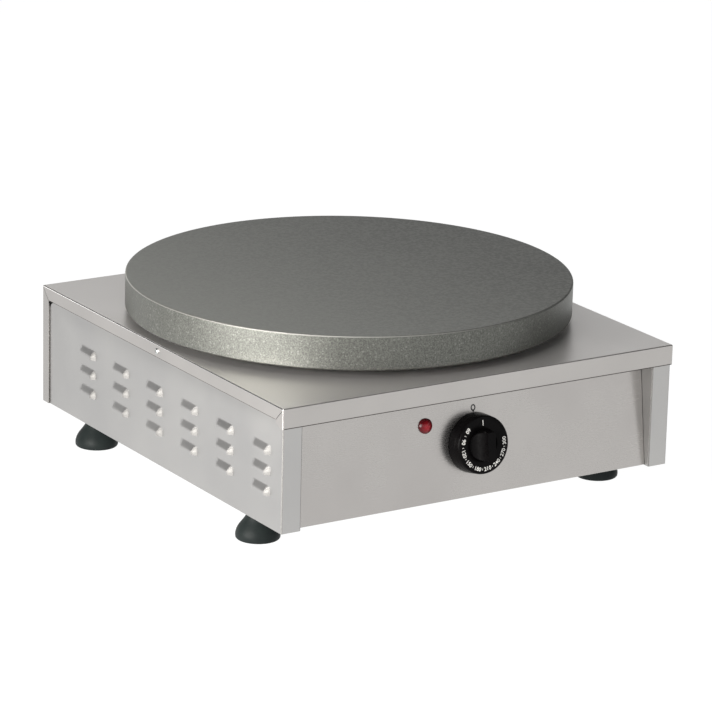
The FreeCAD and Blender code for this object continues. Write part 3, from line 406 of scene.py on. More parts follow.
def side_sheet():
    """The left panel's sheet without its louvres."""
    low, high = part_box("left_side_panel")
    wall = low.x + hood_rise_mm * mm
    inner, front, back, floor, top = high.x, low.y, high.y, low.z, high.z
    block_back = (hood_middle_mm + hood_pitch_mm * hood_columns / 2) * mm
    block_front = block_back - hood_pitch_mm * hood_columns * mm
    block_top = (hood_top_mm + cell_over_mm) * mm
    block_floor = block_top - row_pitch_mm * hood_rows * mm
    cells_y = [block_back - hood_pitch_mm * mm * step for step in range(hood_columns + 1)]
    cells_z = [block_floor + row_pitch_mm * mm * step for step in range(hood_rows + 1)]
    notch_y = back - notch_mm * mm
    notch_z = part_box("top_cover")[0].z + joggle_over_band_mm * mm
    joggle_z = notch_z - joggle_high_mm * mm
    fold_y = front + fold_mm * mm
    rim_y = fold_y + support_mm * mm
    bm = bmesh.new()

    def wall_face(points):
        bm.faces.new([bm.verts.new((wall, *point)) for point in points])

    wall_face([(block_back, floor), (block_front, floor)]
              + [(value, block_floor) for value in cells_y[::-1]])
    wall_face([(value, block_top) for value in cells_y]
              + [(block_front, joggle_z), (block_back, joggle_z)])
    wall_face([(notch_y, floor), (block_back, floor)] + [(block_back, value) for value in cells_z]
              + [(block_back, joggle_z), (notch_y, joggle_z)])
    corner = [(back, floor), (notch_y, floor)]
    for step in range(notch_steps + 1):
        angle = math.pi / 2 * (1 - step / notch_steps)
        corner.append((notch_y + notch_mm * mm * math.cos(angle),
                       joggle_z - notch_mm * mm * (1 - math.sin(angle))))
    wall_face(corner)
    wall_face([(block_front, floor), (rim_y, floor), (rim_y, joggle_z), (block_front, joggle_z)]
              + [(block_front, value) for value in cells_z[::-1]])
    steps = [(joggle_z, 0.0), (notch_z, joggle_mm * mm), (top, joggle_mm * mm)]
    for (low_z, low_in), (high_z, high_in) in zip(steps[:-1], steps[1:]):
        for first, last in ((notch_y, block_back), (block_back, block_front), (block_front, rim_y)):
            ends = [(wall + low_in, first, low_z), (wall + low_in, last, low_z),
                    (wall + high_in, last, high_z), (wall + high_in, first, high_z)]
            bm.faces.new([bm.verts.new(end) for end in ends])
    path = [(wall, rim_y)]
    for centre_x, start in ((wall + fold_mm * mm, math.pi), (inner - fold_mm * mm, math.pi * 1.5)):
        for step in range(fold_steps + 1):
            angle = start + math.pi / 2 * step / fold_steps
            path.append((centre_x + fold_mm * mm * math.cos(angle),
                         fold_y + fold_mm * mm * math.sin(angle)))
        if start == math.pi:
            path.append((centre_x + support_mm * mm, front))
            path.append((inner - (fold_mm + support_mm) * mm, front))
    path.append((inner, rim_y))
    for first, last in zip(path[:-1], path[1:]):
        ends = [(*first, floor), (*last, floor), (*last, top), (*first, top)]
        bm.faces.new([bm.verts.new(end) for end in ends])
    lean = math.tan(math.radians(return_lean_degrees)) * (top - floor)
    edge = front + return_lap_mm * mm
    ends = [(inner, rim_y, floor), (inner, edge, floor), (inner, edge + lean, top),
            (inner, rim_y, top)]
    bm.faces.new([bm.verts.new(end) for end in ends])
    inside = wall + lip_mm * mm
    ends = [(wall, back), (inside, back), (inside, rim_y), (wall, rim_y), (wall, block_front),
            (wall, block_back), (wall, notch_y)]
    bm.faces.new([bm.verts.new((*end, floor)) for end in ends])
    return from_bm("side_sheet", bm)


louvre_tree, given = new_tree(
    "louvre_rows", Hood="Object", Columns="Int", Rows="Int", PitchAlong="Float", PitchUp="Float",
    Middle="Vector", Finish="Material")
column_gaps = worked(louvre_tree, "SUBTRACT", given["Columns"], 1)
row_gaps = worked(louvre_tree, "SUBTRACT", given["Rows"], 1)
grid = add(louvre_tree, "GeometryNodeMeshGrid", {
    "Size X": worked(louvre_tree, "MULTIPLY", column_gaps, given["PitchAlong"]),
    "Size Y": worked(louvre_tree, "MULTIPLY", row_gaps, given["PitchUp"]),
    "Vertices X": given["Columns"],
    "Vertices Y": given["Rows"],
})
upright_grid = add(louvre_tree, "GeometryNodeTransform", {
    "Geometry": grid.outputs["Mesh"],
    "Translation": given["Middle"],
    "Rotation": (math.pi / 2, 0, math.pi / 2),
})
hood_shape = add(louvre_tree, "GeometryNodeObjectInfo", {"Object": given["Hood"]})
hood_copies = add(louvre_tree, "GeometryNodeInstanceOnPoints", {
    "Points": upright_grid.outputs["Geometry"],
    "Instance": hood_shape.outputs["Geometry"],
})
wall_and_hoods = add(louvre_tree, "GeometryNodeJoinGeometry")
louvre_tree.links.new(given["Geometry"], wall_and_hoods.inputs[0])
louvre_tree.links.new(hood_copies.outputs["Instances"], wall_and_hoods.inputs[0])
end_tree(louvre_tree, wall_and_hoods.outputs[0], given["Finish"])

cell = louvre_cell()
wall = side_sheet()
wall_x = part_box("left_side_panel")[0].x + hood_rise_mm * mm
middle_z = hood_top_mm - row_pitch_mm * (hood_rows - 1) / 2
grow(wall, louvre_tree, Hood=cell, Columns=hood_columns, Rows=hood_rows,
     PitchAlong=hood_pitch_mm * mm, PitchUp=row_pitch_mm * mm,
     Middle=(wall_x, hood_middle_mm * mm, middle_z * mm), Finish=side_steel)
thickness = wall.modifiers.new("sheet thickness", "SOLIDIFY")
thickness.thickness = sheet_mm * mm
thickness.offset = -1
thickness.use_even_offset = True
left_panel = plain("louvred_panel_left", side_steel, [wall], [cell])
bm = bmesh.new()
bm.from_mesh(left_panel.data)
bmesh.ops.scale(bm, vec=(-1, 1, 1), verts=bm.verts)
bmesh.ops.reverse_faces(bm, faces=bm.faces)
right_panel = from_bm("louvred_panel_right", bm, side_steel)
for panel, node in ((left_panel, "left_side_panel"), (right_panel, "right_side_panel")):
    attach(panel, "housing")
    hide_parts(node)

# Screws: pan heads with a pressed cross, one in the middle of each side band and ten up through
# the lips into the base plate. Each ends its turn at its own angle.
head_radius_mm = 2.8
head_height_mm = 1.3
shank_mm = 6.0
screw_outline_mm = [
    (0, -shank_mm), (1.1, -shank_mm), (1.5, -shank_mm + 0.5), (1.5, 0), (head_radius_mm, 0),
    (head_radius_mm, 0.35), (2.55, 0.8), (2.0, 1.1), (1.1, 1.26), (0, head_height_mm)]
cross_long_mm, cross_wide_mm, cross_deep_mm = 3.2, 0.75, 0.7
cross_clear_mm = 1
end_screw_mm = 120
side_screws_mm = (-84, 43, 170)


def lathe(name, profile, segments=32):
    """A closed solid turned about Z from (radius, height) pairs in millimetres."""
    bm = bmesh.new()
    rings = []
    for radius, height in profile:
        if radius == 0:
            rings.append([bm.verts.new((0, 0, height * mm))])
            continue
        ring = []
        for step in range(segments):
            angle = math.tau * step / segments
            ring.append(bm.verts.new((radius * mm * math.cos(angle), radius * mm * math.sin(angle),
                                      height * mm)))
        rings.append(ring)
    for lower, upper in zip(rings[:-1], rings[1:]):
        for step in range(segments):
            following = (step + 1) % segments
            corners = [lower[step % len(lower)], lower[following % len(lower)],
                       upper[following % len(upper)], upper[step % len(upper)]]
            bm.faces.new(list(dict.fromkeys(corners)))
    bmesh.ops.remove_doubles(bm, verts=bm.verts, dist=0.001 * mm)
    bmesh.ops.recalc_face_normals(bm, faces=bm.faces)
    smooth_with_creases(bm)
    return from_bm(name, bm)


def bar(bm, width_mm, length_mm, low_mm, high_mm):
    """An upright bar centred on the origin."""
    sizes = Matrix.Diagonal((width_mm * mm, length_mm * mm, (high_mm - low_mm) * mm, 1))
    place = Matrix.Translation((0, 0, (low_mm + high_mm) / 2 * mm))
    bmesh.ops.create_cube(bm, size=1, matrix=place @ sizes)


blank = lathe("screw_blank", screw_outline_mm)
cross = []
for wide_mm, long_mm in ((cross_wide_mm, cross_long_mm), (cross_long_mm, cross_wide_mm)):
    bm = bmesh.new()
    bar(bm, wide_mm, long_mm, head_height_mm - cross_deep_mm, head_height_mm + cross_clear_mm)
    cross.append(from_bm("cross_bar", bm))
    pressed = blank.modifiers.new("pressed cross", "BOOLEAN")
    pressed.object = cross[-1]
screw = plain("pan_head_screw", bright_zinc, [blank], cross)

screw_tree, given = new_tree(
    "screws_on_points", Screw="Object", Facing="Vector", Seed="Int", Finish="Material")
turn = add(screw_tree, "FunctionNodeRandomValue", {2: 0.0, 3: math.tau, "Seed": given["Seed"]})
about_own_axis = add(screw_tree, "ShaderNodeCombineXYZ", {"Z": turn.outputs[1]})
own_turn = add(screw_tree, "FunctionNodeEulerToRotation", {0: about_own_axis.outputs[0]})
facing_out = add(screw_tree, "FunctionNodeAlignRotationToVector", {"Vector": given["Facing"]},
                 axis="Z")
final_turn = add(screw_tree, "FunctionNodeRotateRotation",
                 {0: facing_out.outputs[0], 1: own_turn.outputs[0]}, rotation_space="LOCAL")
screw_shape = add(screw_tree, "GeometryNodeObjectInfo", {"Object": given["Screw"]})
screw_copies = add(screw_tree, "GeometryNodeInstanceOnPoints", {
    "Points": given["Geometry"],
    "Instance": screw_shape.outputs["Geometry"],
    "Rotation": final_turn.outputs[0],
})
end_tree(screw_tree, screw_copies.outputs["Instances"], given["Finish"])


def screws_at(points, facing, seed):
    """Screws at the points, with their heads facing one way."""
    bm = bmesh.new()
    for point in points:
        bm.verts.new(point)
    spots = from_bm("screw_spots", bm)
    grow(spots, screw_tree, Screw=screw, Facing=facing, Seed=seed, Finish=bright_zinc)
    return spots


band_low, band_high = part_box("cover_screws")
band_z = (band_low.z + band_high.z) / 2
band_x = band_high.x - head_height_mm * mm
band_spots = [screws_at([(-band_x, 0, band_z)], facing=(-1, 0, 0), seed=3),
              screws_at([(band_x, 0, band_z)], facing=(1, 0, 0), seed=4)]
base_low, base_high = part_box("base_screws")
head_radius = head_radius_mm * mm
side_x = base_high.x - head_radius
seat_z = base_low.z + head_height_mm * mm
base_points = [(end_screw_mm * mm * hand, end_y, seat_z)
               for hand in (-1, 1) for end_y in (base_low.y + head_radius, base_high.y - head_radius)]
base_points += [(side_x * hand, side_y * mm, seat_z) for hand in (-1, 1) for side_y in side_screws_mm]
under_spots = screws_at(base_points, facing=(0, 0, -1), seed=5)
band_screws = plain("band_screws", bright_zinc, band_spots)
under_screws = plain("under_screws", bright_zinc, [under_spots], [screw])
for piece, node in ((band_screws, "cover_screws"), (under_screws, "base_screws")):
    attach(piece, "housing")
    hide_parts(node)

# Gap shadows: thin dark strips along the lower edge of the cover's bands, painted shadow of the gaps
# between the bands and the walls. They show as thin lines over the walls.
edge_high_mm, edge_deep_mm, proud_mm = 0.7, 0.5, 0.03
side_rise_mm, side_inset_mm, corner_mm = 6.0, 12.5, 1.3
gap_shadow_finish, tree = new_finish("laser_cut_edge")
place = object_place(tree)
coat(tree, {
    "Base Color": two_tone(tree, place, patch_mm=2, first="3a3735", second="57534f"),
    "Metallic": 0.5,
    "Roughness": uneven_shine(tree, place, patch_mm=1, smooth=0.5, rough=0.65),
})
cover_low, cover_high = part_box("top_cover")


def edge_strip(bm, corner, opposite):
    """A straight strip between two corners."""
    sizes = Matrix.Diagonal((*(abs(far - near) for near, far in zip(corner, opposite)), 1))
    middle = Matrix.Translation([(near + far) / 2 for near, far in zip(corner, opposite)])
    bmesh.ops.create_cube(bm, size=1, matrix=middle @ sizes)


bm = bmesh.new()
edge_strip(bm, (cover_low.x + corner_mm * mm, cover_low.y - proud_mm * mm,
                cover_low.z - proud_mm * mm),
           (cover_high.x - corner_mm * mm, cover_low.y + edge_deep_mm * mm,
            cover_low.z + edge_high_mm * mm))
side_floor = cover_low.z + side_rise_mm * mm
for hand in (-1, 1):
    outer_x = hand * (cover_high.x + proud_mm * mm)
    edge_strip(bm, (outer_x, cover_low.y + side_inset_mm * mm, side_floor - proud_mm * mm),
               (outer_x - hand * edge_deep_mm * mm, cover_high.y - side_inset_mm * mm,
                side_floor + edge_high_mm / 2 * mm))
# Dark strips under the bands: painted shadow of the gaps.
cut_edges = from_bm("cut_edges", bm, gap_shadow_finish)
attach(cut_edges, "housing")

# Levelling feet: injection-moulded black plastic with a satin skin, flared to a round sole. Each is
# moulded on to its stud, which screws through a nut on the base plate.
foot_top_mm = 29.7
bore_radius_mm, bore_floor_mm = 4.1, 5.9
foot_outline_mm = [
    (0, 0), (17.5, 0), (18.6, 0.35), (19.3, 1.2), (19.5, 2.6), (19.4, 4.6), (18.9, 6.9), (17.9, 9.3),
    (16.4, 11.8), (14.4, 14.4), (12.5, 16.9), (10.9, 19.4), (9.7, 22.2), (9.0, 25.2), (8.6, 28.0),
    (8.5, foot_top_mm), (bore_radius_mm, foot_top_mm), (bore_radius_mm, bore_floor_mm),
    (0, bore_floor_mm)]
foot_plastic, tree = new_finish("moulded_black_foot")
place = object_place(tree)
coat(tree, {
    "Base Color": two_tone(tree, place, patch_mm=9, first="171b1b", second="212625"),
    "Roughness": uneven_shine(tree, place, patch_mm=5, smooth=0.42, rough=0.5),
    "Specular IOR Level": 0.08,
    "Normal": uneven_skin(tree, place, grain_mm=0.7, depth_mm=0.02, strength=0.5),
})
for corner in ("front_left", "front_right", "back_left", "back_right"):
    foot_low, foot_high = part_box("foot_" + corner)
    turned_foot = lathe("turned_foot", foot_outline_mm, segments=72)
    foot_middle = (foot_low + foot_high) / 2
    turned_foot.matrix_world = Matrix.Translation((foot_middle.x, foot_middle.y, foot_low.z))
    foot = plain("levelling_foot_" + corner, foot_plastic, [turned_foot])
    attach(foot, "foot_" + corner)
    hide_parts("foot_" + corner)

# Heat shield filling: a disc of white ceramic fibre, pressed from short tangled strands that leave
# it matt and a little patchy. It lies in the tray under the elements.
strand_mm, strand_deep_mm = 1.2, 0.3
patch_mm = 25
fibre_board, tree = new_finish("ceramic_fibre_board")
place = object_place(tree)
strands = clouds(tree, place, strand_mm, detail=5.0)
patches = ranged(tree, clouds(tree, place, patch_mm), 0.3, 0.7)
coat(tree, {
    "Base Color": blend(tree, patches, colour("d9d3c6"), colour("ece8de")),
    "Roughness": ranged(tree, strands, 0.3, 0.7, 0.85, 1.0),
    "Normal": relief(tree, strands, strand_deep_mm, 0.8),
})
dress(fibre_board, "insulation_disc")

# Heating elements: nickel-alloy tube packed with white powder, bent into two open rings. Heat has
# stained the sheath in soft bands from straw to slate, and the steel posts and sleeves beside it.
stain_mm = 30
sheath, tree = new_finish("heat_stained_sheath")
place = object_place(tree)
stain = ranged(tree, clouds(tree, place, stain_mm, detail=3.0), 0.3, 0.7)
coat(tree, {
    "Base Color": blend(tree, stain, colour("6f6155"), colour("565a60")),
    "Metallic": 1.0,
    "Roughness": uneven_shine(tree, place, patch_mm=4, smooth=0.45, rough=0.6),
    "Normal": uneven_skin(tree, place, grain_mm=0.8, depth_mm=0.03, strength=0.5),
})
dress(sheath, "outer_heating_element", "inner_heating_element", "plate_posts", "spacer_sleeves")

# Thermostat: a switch case moulded in dull black plastic and screwed behind the panel, with a steel
# spindle and a bulb against the plate. The thin copper tube between them has dulled to brown.
tarnish_mm = 8
moulded_black, tree = new_finish("moulded_black_case")
place = object_place(tree)
coat(tree, {
    "Base Color": two_tone(tree, place, patch_mm=6, first="1d1d1e", second="29292a"),
    "Roughness": uneven_shine(tree, place, patch_mm=3, smooth=0.38, rough=0.52),
    "Normal": uneven_skin(tree, place, grain_mm=0.5, depth_mm=0.03, strength=0.5),
})
copper, tree = new_finish("dulled_copper_tube")
place = object_place(tree)
tarnish = ranged(tree, clouds(tree, place, tarnish_mm, detail=4.0), 0.35, 0.65)
coat(tree, {
    "Base Color": blend(tree, tarnish, colour("c98a66"), colour("8d5a40")),
    "Metallic": 1.0,
    "Roughness": uneven_shine(tree, place, patch_mm=3, smooth=0.28, rough=0.5),
    "Normal": uneven_skin(tree, place, grain_mm=0.4, depth_mm=0.01, strength=0.5),
})
dress(moulded_black, "thermostat_body")
dress(bright_zinc, "thermostat_screws", "thermostat_spindle", "thermostat_bulb")
dress(copper, "capillary_tube")

# Pilot lamp: a domed lens of clear red plastic pushed through the panel and held by a nut behind.
# The dome is thick in its middle; its colour is painted paler there and darker at the rim: painted
# light through the dome.
lens_core_mm, lens_rim_mm = 1.0, 6.0
lens_low, lens_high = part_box("lamp_lens")
lens_middle = (lens_low + lens_high) / 2
lens_red, tree = new_finish("clear_red_lens")
place = object_place(tree)
from_middle = add(tree, "ShaderNodeMapping", {
    "Vector": place, "Location": (-lens_middle.x, 0, -lens_middle.z), "Scale": (1, 0, 1)}).outputs[0]
spread = add(tree, "ShaderNodeVectorMath", {0: from_middle}, operation="LENGTH").outputs["Value"]
# Paler middle and darker rim: painted light through the dome.
to_rim = ranged(tree, spread, lens_core_mm * mm, lens_rim_mm * mm)
coat(tree, {
    "Base Color": blend(tree, to_rim, colour("8a1822"), colour("45060c")),
    "Roughness": uneven_shine(tree, place, patch_mm=4, smooth=0.16, rough=0.24),
    "Normal": uneven_skin(tree, place, grain_mm=2.5, depth_mm=0.04, strength=0.4),
    "Subsurface Weight": 0.3,
    "Subsurface Radius": (3 * mm, 0.6 * mm, 0.6 * mm),
    "Specular IOR Level": 0.25,
})
dress(lens_red, "lamp_lens")
dress(moulded_black, "lamp_body")
dress(bright_zinc, "lamp_nut")

# Terminal block: a pale heat-proof moulding that stands on the base plate, where the cord's wires
# come in. Its filler mottles it slightly.
filler_mm = 3
pale_moulding, tree = new_finish("pale_moulding")
place = object_place(tree)
filler = clouds(tree, place, filler_mm, detail=4.0)
coat(tree, {
    "Base Color": blend(tree, filler, colour("cdc6b4"), colour("dfd9ca")),
    "Roughness": uneven_shine(tree, place, patch_mm=2, smooth=0.45, rough=0.6),
    "Normal": uneven_skin(tree, place, grain_mm=0.6, depth_mm=0.03, strength=0.5),
})
dress(pale_moulding, "terminal_block")

# Cord gland: black plastic through the rear cover, with a ribbed nose for fingers and a nut
# inside. The ribs are moulded with it.
rib_count = 12
rib_wide_mm, rib_high_mm, rib_long_mm = 1.1, 1.0, 10.0
nose_radius_mm, tip_radius_mm, nose_long_mm = 10.6, 6.75, 11.0
dress(moulded_black, "cord_gland", "gland_nut")
ring_tree, given = new_tree(
    "copies_in_a_ring", Copy="Object", Count="Int", First="Float", Step="Float", Radius="Float",
    Finish="Material")
index = add(ring_tree, "GeometryNodeInputIndex").outputs[0]
clock_angle = worked(ring_tree, "MULTIPLY_ADD", index, given["Step"], given["First"])
spot = add(ring_tree, "ShaderNodeCombineXYZ", {
    "X": worked(ring_tree, "MULTIPLY", worked(ring_tree, "SINE", clock_angle), given["Radius"]),
    "Y": worked(ring_tree, "MULTIPLY", worked(ring_tree, "COSINE", clock_angle), given["Radius"]),
})
ring_points = add(ring_tree, "GeometryNodePoints",
                  {"Count": given["Count"], "Position": spot.outputs[0]})
spoke = add(ring_tree, "ShaderNodeCombineXYZ", {"Z": worked(ring_tree, "MULTIPLY", clock_angle, -1.0)})
along_spoke = add(ring_tree, "FunctionNodeEulerToRotation", {0: spoke.outputs[0]})
ring_shape = add(ring_tree, "GeometryNodeObjectInfo", {"Object": given["Copy"]})
ring_copies = add(ring_tree, "GeometryNodeInstanceOnPoints", {
    "Points": ring_points.outputs[0],
    "Instance": ring_shape.outputs["Geometry"],
    "Rotation": along_spoke.outputs[0],
})
end_tree(ring_tree, ring_copies.outputs["Instances"], given["Finish"])


def ring_of(copy, place, finish, count, first, step, radius_mm):
    """Copies in a ring about the place's Z, from clock angles in degrees."""
    holder = from_bm("ring_holder", bmesh.new())
    holder.matrix_world = place
    grow(holder, ring_tree, Copy=copy, Count=count, First=math.radians(first),
         Step=math.radians(step), Radius=radius_mm * mm, Finish=finish)
    return holder


gland_low, gland_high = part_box("cord_gland")
gland_axis = Vector(((gland_low.x + gland_high.x) / 2, gland_high.y, (gland_low.z + gland_high.z) / 2))
bm = bmesh.new()
bar(bm, rib_wide_mm, rib_high_mm, -rib_long_mm, -rib_high_mm / 2)
slope = math.atan2(nose_radius_mm - tip_radius_mm, nose_long_mm)
bmesh.ops.rotate(bm, verts=bm.verts, matrix=Matrix.Rotation(slope, 3, "X"))
rib = from_bm("gland_rib", bm)
outwards = Matrix(((-1, 0, 0), (0, 0, 1), (0, 1, 0))).transposed().to_4x4()
rib_ring = ring_of(rib, Matrix.Translation(gland_axis) @ outwards, moulded_black, rib_count,
                   first=0, step=360 / rib_count, radius_mm=tip_radius_mm)
gland_ribs = plain("gland_ribs", moulded_black, [rib_ring], [rib])
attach(gland_ribs, "housing")

# Griddle plate: a ground iron casting under a thin non-stick coat, dark grey-green and speckled
# with pale grit. Use has left a faint uneven sheen. The top is painted paler, most on the left:
# painted light falling from the left. A pale line round the top edge, strongest on the left, is a
# painted highlight. The grit is drawn coarser than the real one, which is too fine to show.
grit_mm, grit_deep_mm = 1.2, 0.12
mottle_mm = 3.3
speck_mm = 2.0
sheen_mm = 70
edge_from_mm, edge_to_mm = 1.1, 0.5
edge_up_mm = 0.6
griddle_coat, tree = new_finish("speckled_griddle_coat")
place = object_place(tree)
grit = clouds(tree, place, grit_mm, detail=3.0)
speck_cells = add(tree, "ShaderNodeTexVoronoi", {"Vector": place, "Scale": 1 / (speck_mm * mm)})
speck_size = add(tree, "ShaderNodeSeparateColor", {"Color": speck_cells.outputs["Color"]}).outputs[0]
specks = ranged(tree, worked(tree, "SUBTRACT", speck_size, speck_cells.outputs["Distance"]), 0.35, 0.7)
sheen_patches = ranged(tree, clouds(tree, place, sheen_mm, detail=3.0), 0.3, 0.7)
plate_low, plate_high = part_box("griddle_plate")
at = add(tree, "ShaderNodeSeparateXYZ", {0: place}).outputs
from_middle_y = worked(tree, "SUBTRACT", at["Y"], (plate_low.y + plate_high.y) / 2)
level = add(tree, "ShaderNodeCombineXYZ", {"X": at["X"], "Y": from_middle_y})
spread = add(tree, "ShaderNodeVectorMath", {0: level.outputs[0]}, operation="LENGTH").outputs["Value"]
near_side = ranged(tree, spread, plate_high.x - edge_from_mm * mm, plate_high.x - edge_to_mm * mm)
near_top = ranged(tree, at["Z"], plate_high.z - edge_from_mm * mm, plate_high.z - edge_up_mm * mm)
mottle = ranged(tree, clouds(tree, place, mottle_mm), 0.42, 0.58)
left_to_right = ranged(tree, at["X"], plate_low.x, plate_high.x)
ground = blend(tree, ranged(tree, grit, 0.36, 0.64), colour("50514d"), colour("6b6c67"))
on_top = ranged(tree, at["Z"], plate_high.z - edge_up_mm * mm, plate_high.z)
mottle_share = worked(tree, "MULTIPLY", mottle, worked(tree, "MULTIPLY", on_top, 0.9))
mottled = blend(tree, mottle_share, ground, colour("2e2f2c"))
speckled = blend(tree, worked(tree, "MULTIPLY", specks, 0.4), mottled, colour("8d8e89"))
uneven = blend(tree, worked(tree, "MULTIPLY", sheen_patches, 0.12), speckled, colour("777872"))
# Paler towards the left on the top: painted light falling from the left.
top_light_share = worked(tree, "MULTIPLY", on_top, ranged(tree, left_to_right, 0.0, 0.9, 0.8, 0.25))
toned = blend(tree, top_light_share, uneven, colour("a8a9a3"))
at_edge = worked(tree, "MULTIPLY", near_side, near_top)
# Pale line round the top edge, strongest on the left: painted highlight on the rim.
rim_highlight_share = worked(tree, "MULTIPLY", at_edge, ranged(tree, left_to_right, 0.2, 0.8, 1.0, 0.15))
coat(tree, {
    "Base Color": blend(tree, rim_highlight_share, toned, colour("bfbeb8")),
    "Metallic": 0.8,
    "Roughness": ranged(tree, grit, 0.3, 0.7, 0.4, 0.5),
    "Normal": relief(tree, grit, grit_deep_mm, 0.6),
})
dress(griddle_coat, "griddle_plate")

# Control knob: moulded in black plastic with a smooth skin and pushed on to the spindle. Its skirt
# carries a printed white scale that comes round to a mark on the panel.
face_mm = 14.6
rim_outline_mm = [
    (13.6, 8.7), (25.8, 8.7), (25.55, 13.3), (25.2, 14.15), (24.5, face_mm), (14.3, face_mm),
    (13.8, 14.3), (13.6, 13.8), (13.6, 8.7)]
number_ring_mm = 21.2
number_high_mm, capital_share = 3.4, 0.7
stroke_mm = 0.06
first_number, number_step = 60, 30
first_angle, angle_step = -47.0, -28.2
number_count = 9
tick_wide_mm, tick_high_mm = 0.4, 1.7
index_wide_mm, index_high_mm, index_ring_mm = 0.65, 4.6, 19.5
ink_mm = 0.06
knob_plastic, tree = new_finish("moulded_black_knob")
place = object_place(tree)
coat(tree, {
    "Base Color": two_tone(tree, place, patch_mm=8, first="060506", second="0b0a0a"),
    "Roughness": uneven_shine(tree, place, patch_mm=4, smooth=0.24, rough=0.34),
    "Specular IOR Level": 0.05,
    "Normal": uneven_skin(tree, place, grain_mm=0.6, depth_mm=0.02, strength=0.5),
})
dress(knob_plastic, "control_knob")
white_ink, tree = new_finish("white_scale_ink")
place = object_place(tree)
coat(tree, {
    "Base Color": two_tone(tree, place, patch_mm=1.5, first="dedcd6", second="f2f1ec"),
    "Roughness": uneven_shine(tree, place, patch_mm=1, smooth=0.5, rough=0.7),
})
knob_joint = next(joint for joint in frame["joints"] if joint["name"] == "knob_turn")
knob_out = -Vector(knob_joint["axis"]).normalized()
panel_across = Vector((1, 0, 0))
panel_up = knob_out.cross(panel_across)
knob_turned = Matrix((panel_across, panel_up, knob_out)).transposed().to_4x4()
knob_place = Matrix.Translation(knob_joint["pos_m"]) @ knob_turned
skirt_ring = lathe("skirt_ring", rim_outline_mm, segments=96)
skirt_ring.matrix_world = knob_place
knob_face = plain("knob_face", knob_plastic, [skirt_ring])
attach(knob_face, "control")


def number_mesh(text):
    """A number as a thin raised print, centred on the origin."""
    curve = bpy.data.curves.new("number", "FONT")
    curve.body = text
    curve.size = number_high_mm / capital_share * mm
    curve.offset = stroke_mm * mm
    curve.extrude = ink_mm / 2 * mm
    curve.resolution_u = 3
    curve.align_x = "CENTER"
    curve.align_y = "CENTER"
    made = bpy.data.objects.new("number", curve)
    bpy.context.collection.objects.link(made)
    return made


prints = []
for number in range(number_count):
    angle = math.radians(first_angle + angle_step * number)
    printed = number_mesh(str(first_number + number_step * number))
    spot = Vector((math.sin(angle), math.cos(angle), 0)) * number_ring_mm * mm
    spot.z = (face_mm + ink_mm / 2) * mm
    upright = Matrix.Rotation(math.pi - angle, 4, "Z")
    printed.matrix_world = knob_place @ Matrix.Translation(spot) @ upright
    prints.append(printed)
bm = bmesh.new()
bar(bm, tick_wide_mm, tick_high_mm, face_mm, face_mm + ink_mm)
tick = from_bm("tick", bm)
ticks = ring_of(tick, knob_place, white_ink, number_count - 1, first=first_angle + angle_step / 2,
                step=angle_step, radius_mm=number_ring_mm)
bm = bmesh.new()
bar(bm, index_wide_mm, index_high_mm, face_mm, face_mm + ink_mm)
index_line = from_bm("index_line", bm)
index_line.matrix_world = knob_place @ Matrix.Translation((0, index_ring_mm * mm, 0))
scale_print = plain("scale_print", white_ink, prints + [ticks, index_line], [tick])
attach(scale_print, "control")

# Mark on the panel: a small ring with a pointer below it, printed above the knob in black ink
# straight on the steel. It shows which number of the scale is set.
mark_above_mm = 30.7
ring_half_wide_mm, ring_half_high_mm, line_mm = 2.5, 2.9, 1.15
ring_steps = 40
pointer_half_mm, pointer_root_mm, pointer_tip_mm = 1.2, 0.5, 1.8
black_ink, tree = new_finish("black_panel_ink")
place = object_place(tree)
coat(tree, {
    "Base Color": two_tone(tree, place, patch_mm=1.5, first="141414", second="202020"),
    "Roughness": uneven_shine(tree, place, patch_mm=1, smooth=0.45, rough=0.6),
})
bm = bmesh.new()
rings = []
for inset in (0, line_mm):
    ring = []
    for step in range(ring_steps):
        angle = math.tau * step / ring_steps
        ring.append(bm.verts.new(((ring_half_wide_mm - inset) * mm * math.cos(angle),
                                  (ring_half_high_mm - inset) * mm * math.sin(angle), 0)))
    rings.append(ring)
for step in range(ring_steps):
    following = (step + 1) % ring_steps
    bm.faces.new((rings[0][step], rings[0][following], rings[1][following], rings[1][step]))
pointer = [(-pointer_half_mm, -ring_half_high_mm + pointer_root_mm),
           (0, -ring_half_high_mm - pointer_tip_mm),
           (pointer_half_mm, -ring_half_high_mm + pointer_root_mm)]
bm.faces.new([bm.verts.new((across * mm, up * mm, 0)) for across, up in pointer])
raised = bmesh.ops.extrude_face_region(bm, geom=list(bm.faces))["geom"]
raised_points = [item for item in raised if isinstance(item, bmesh.types.BMVert)]
bmesh.ops.translate(bm, verts=raised_points, vec=(0, 0, ink_mm * mm))
bmesh.ops.recalc_face_normals(bm, faces=bm.faces)
panel_mark = from_bm("panel_mark_shape", bm)
panel_mark.matrix_world = knob_place @ Matrix.Translation((0, mark_above_mm * mm, 0))
panel_mark = plain("panel_mark", black_ink, [panel_mark])
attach(panel_mark, "housing")

# Studio: a plain pale sweep lit from all round, with a large soft lamp to the left of the camera, a
# small one above and a weak one behind on the left. Satin steel shows what stands round it, so the
# room is bright low down and dimmer overhead. Its sizes are in metres and its lamps in watts.
floor_half = 9
floor_glow = 0.98
room_glow = 1.3
lamp_aim_height = 0.1
paper, tree = new_finish("pale_paper")
glow = add(tree, "ShaderNodeEmission", {"Color": colour("ffffff"), "Strength": floor_glow})
matt = add(tree, "ShaderNodeBsdfDiffuse", {"Color": colour("565656")})
both = add(tree, "ShaderNodeAddShader", {0: glow.outputs[0], 1: matt.outputs[0]})
add(tree, "ShaderNodeOutputMaterial", {"Surface": both.outputs[0]})
bm = bmesh.new()
bmesh.ops.create_grid(bm, x_segments=2, y_segments=2, size=floor_half)
floor = from_bm("floor", bm, paper)

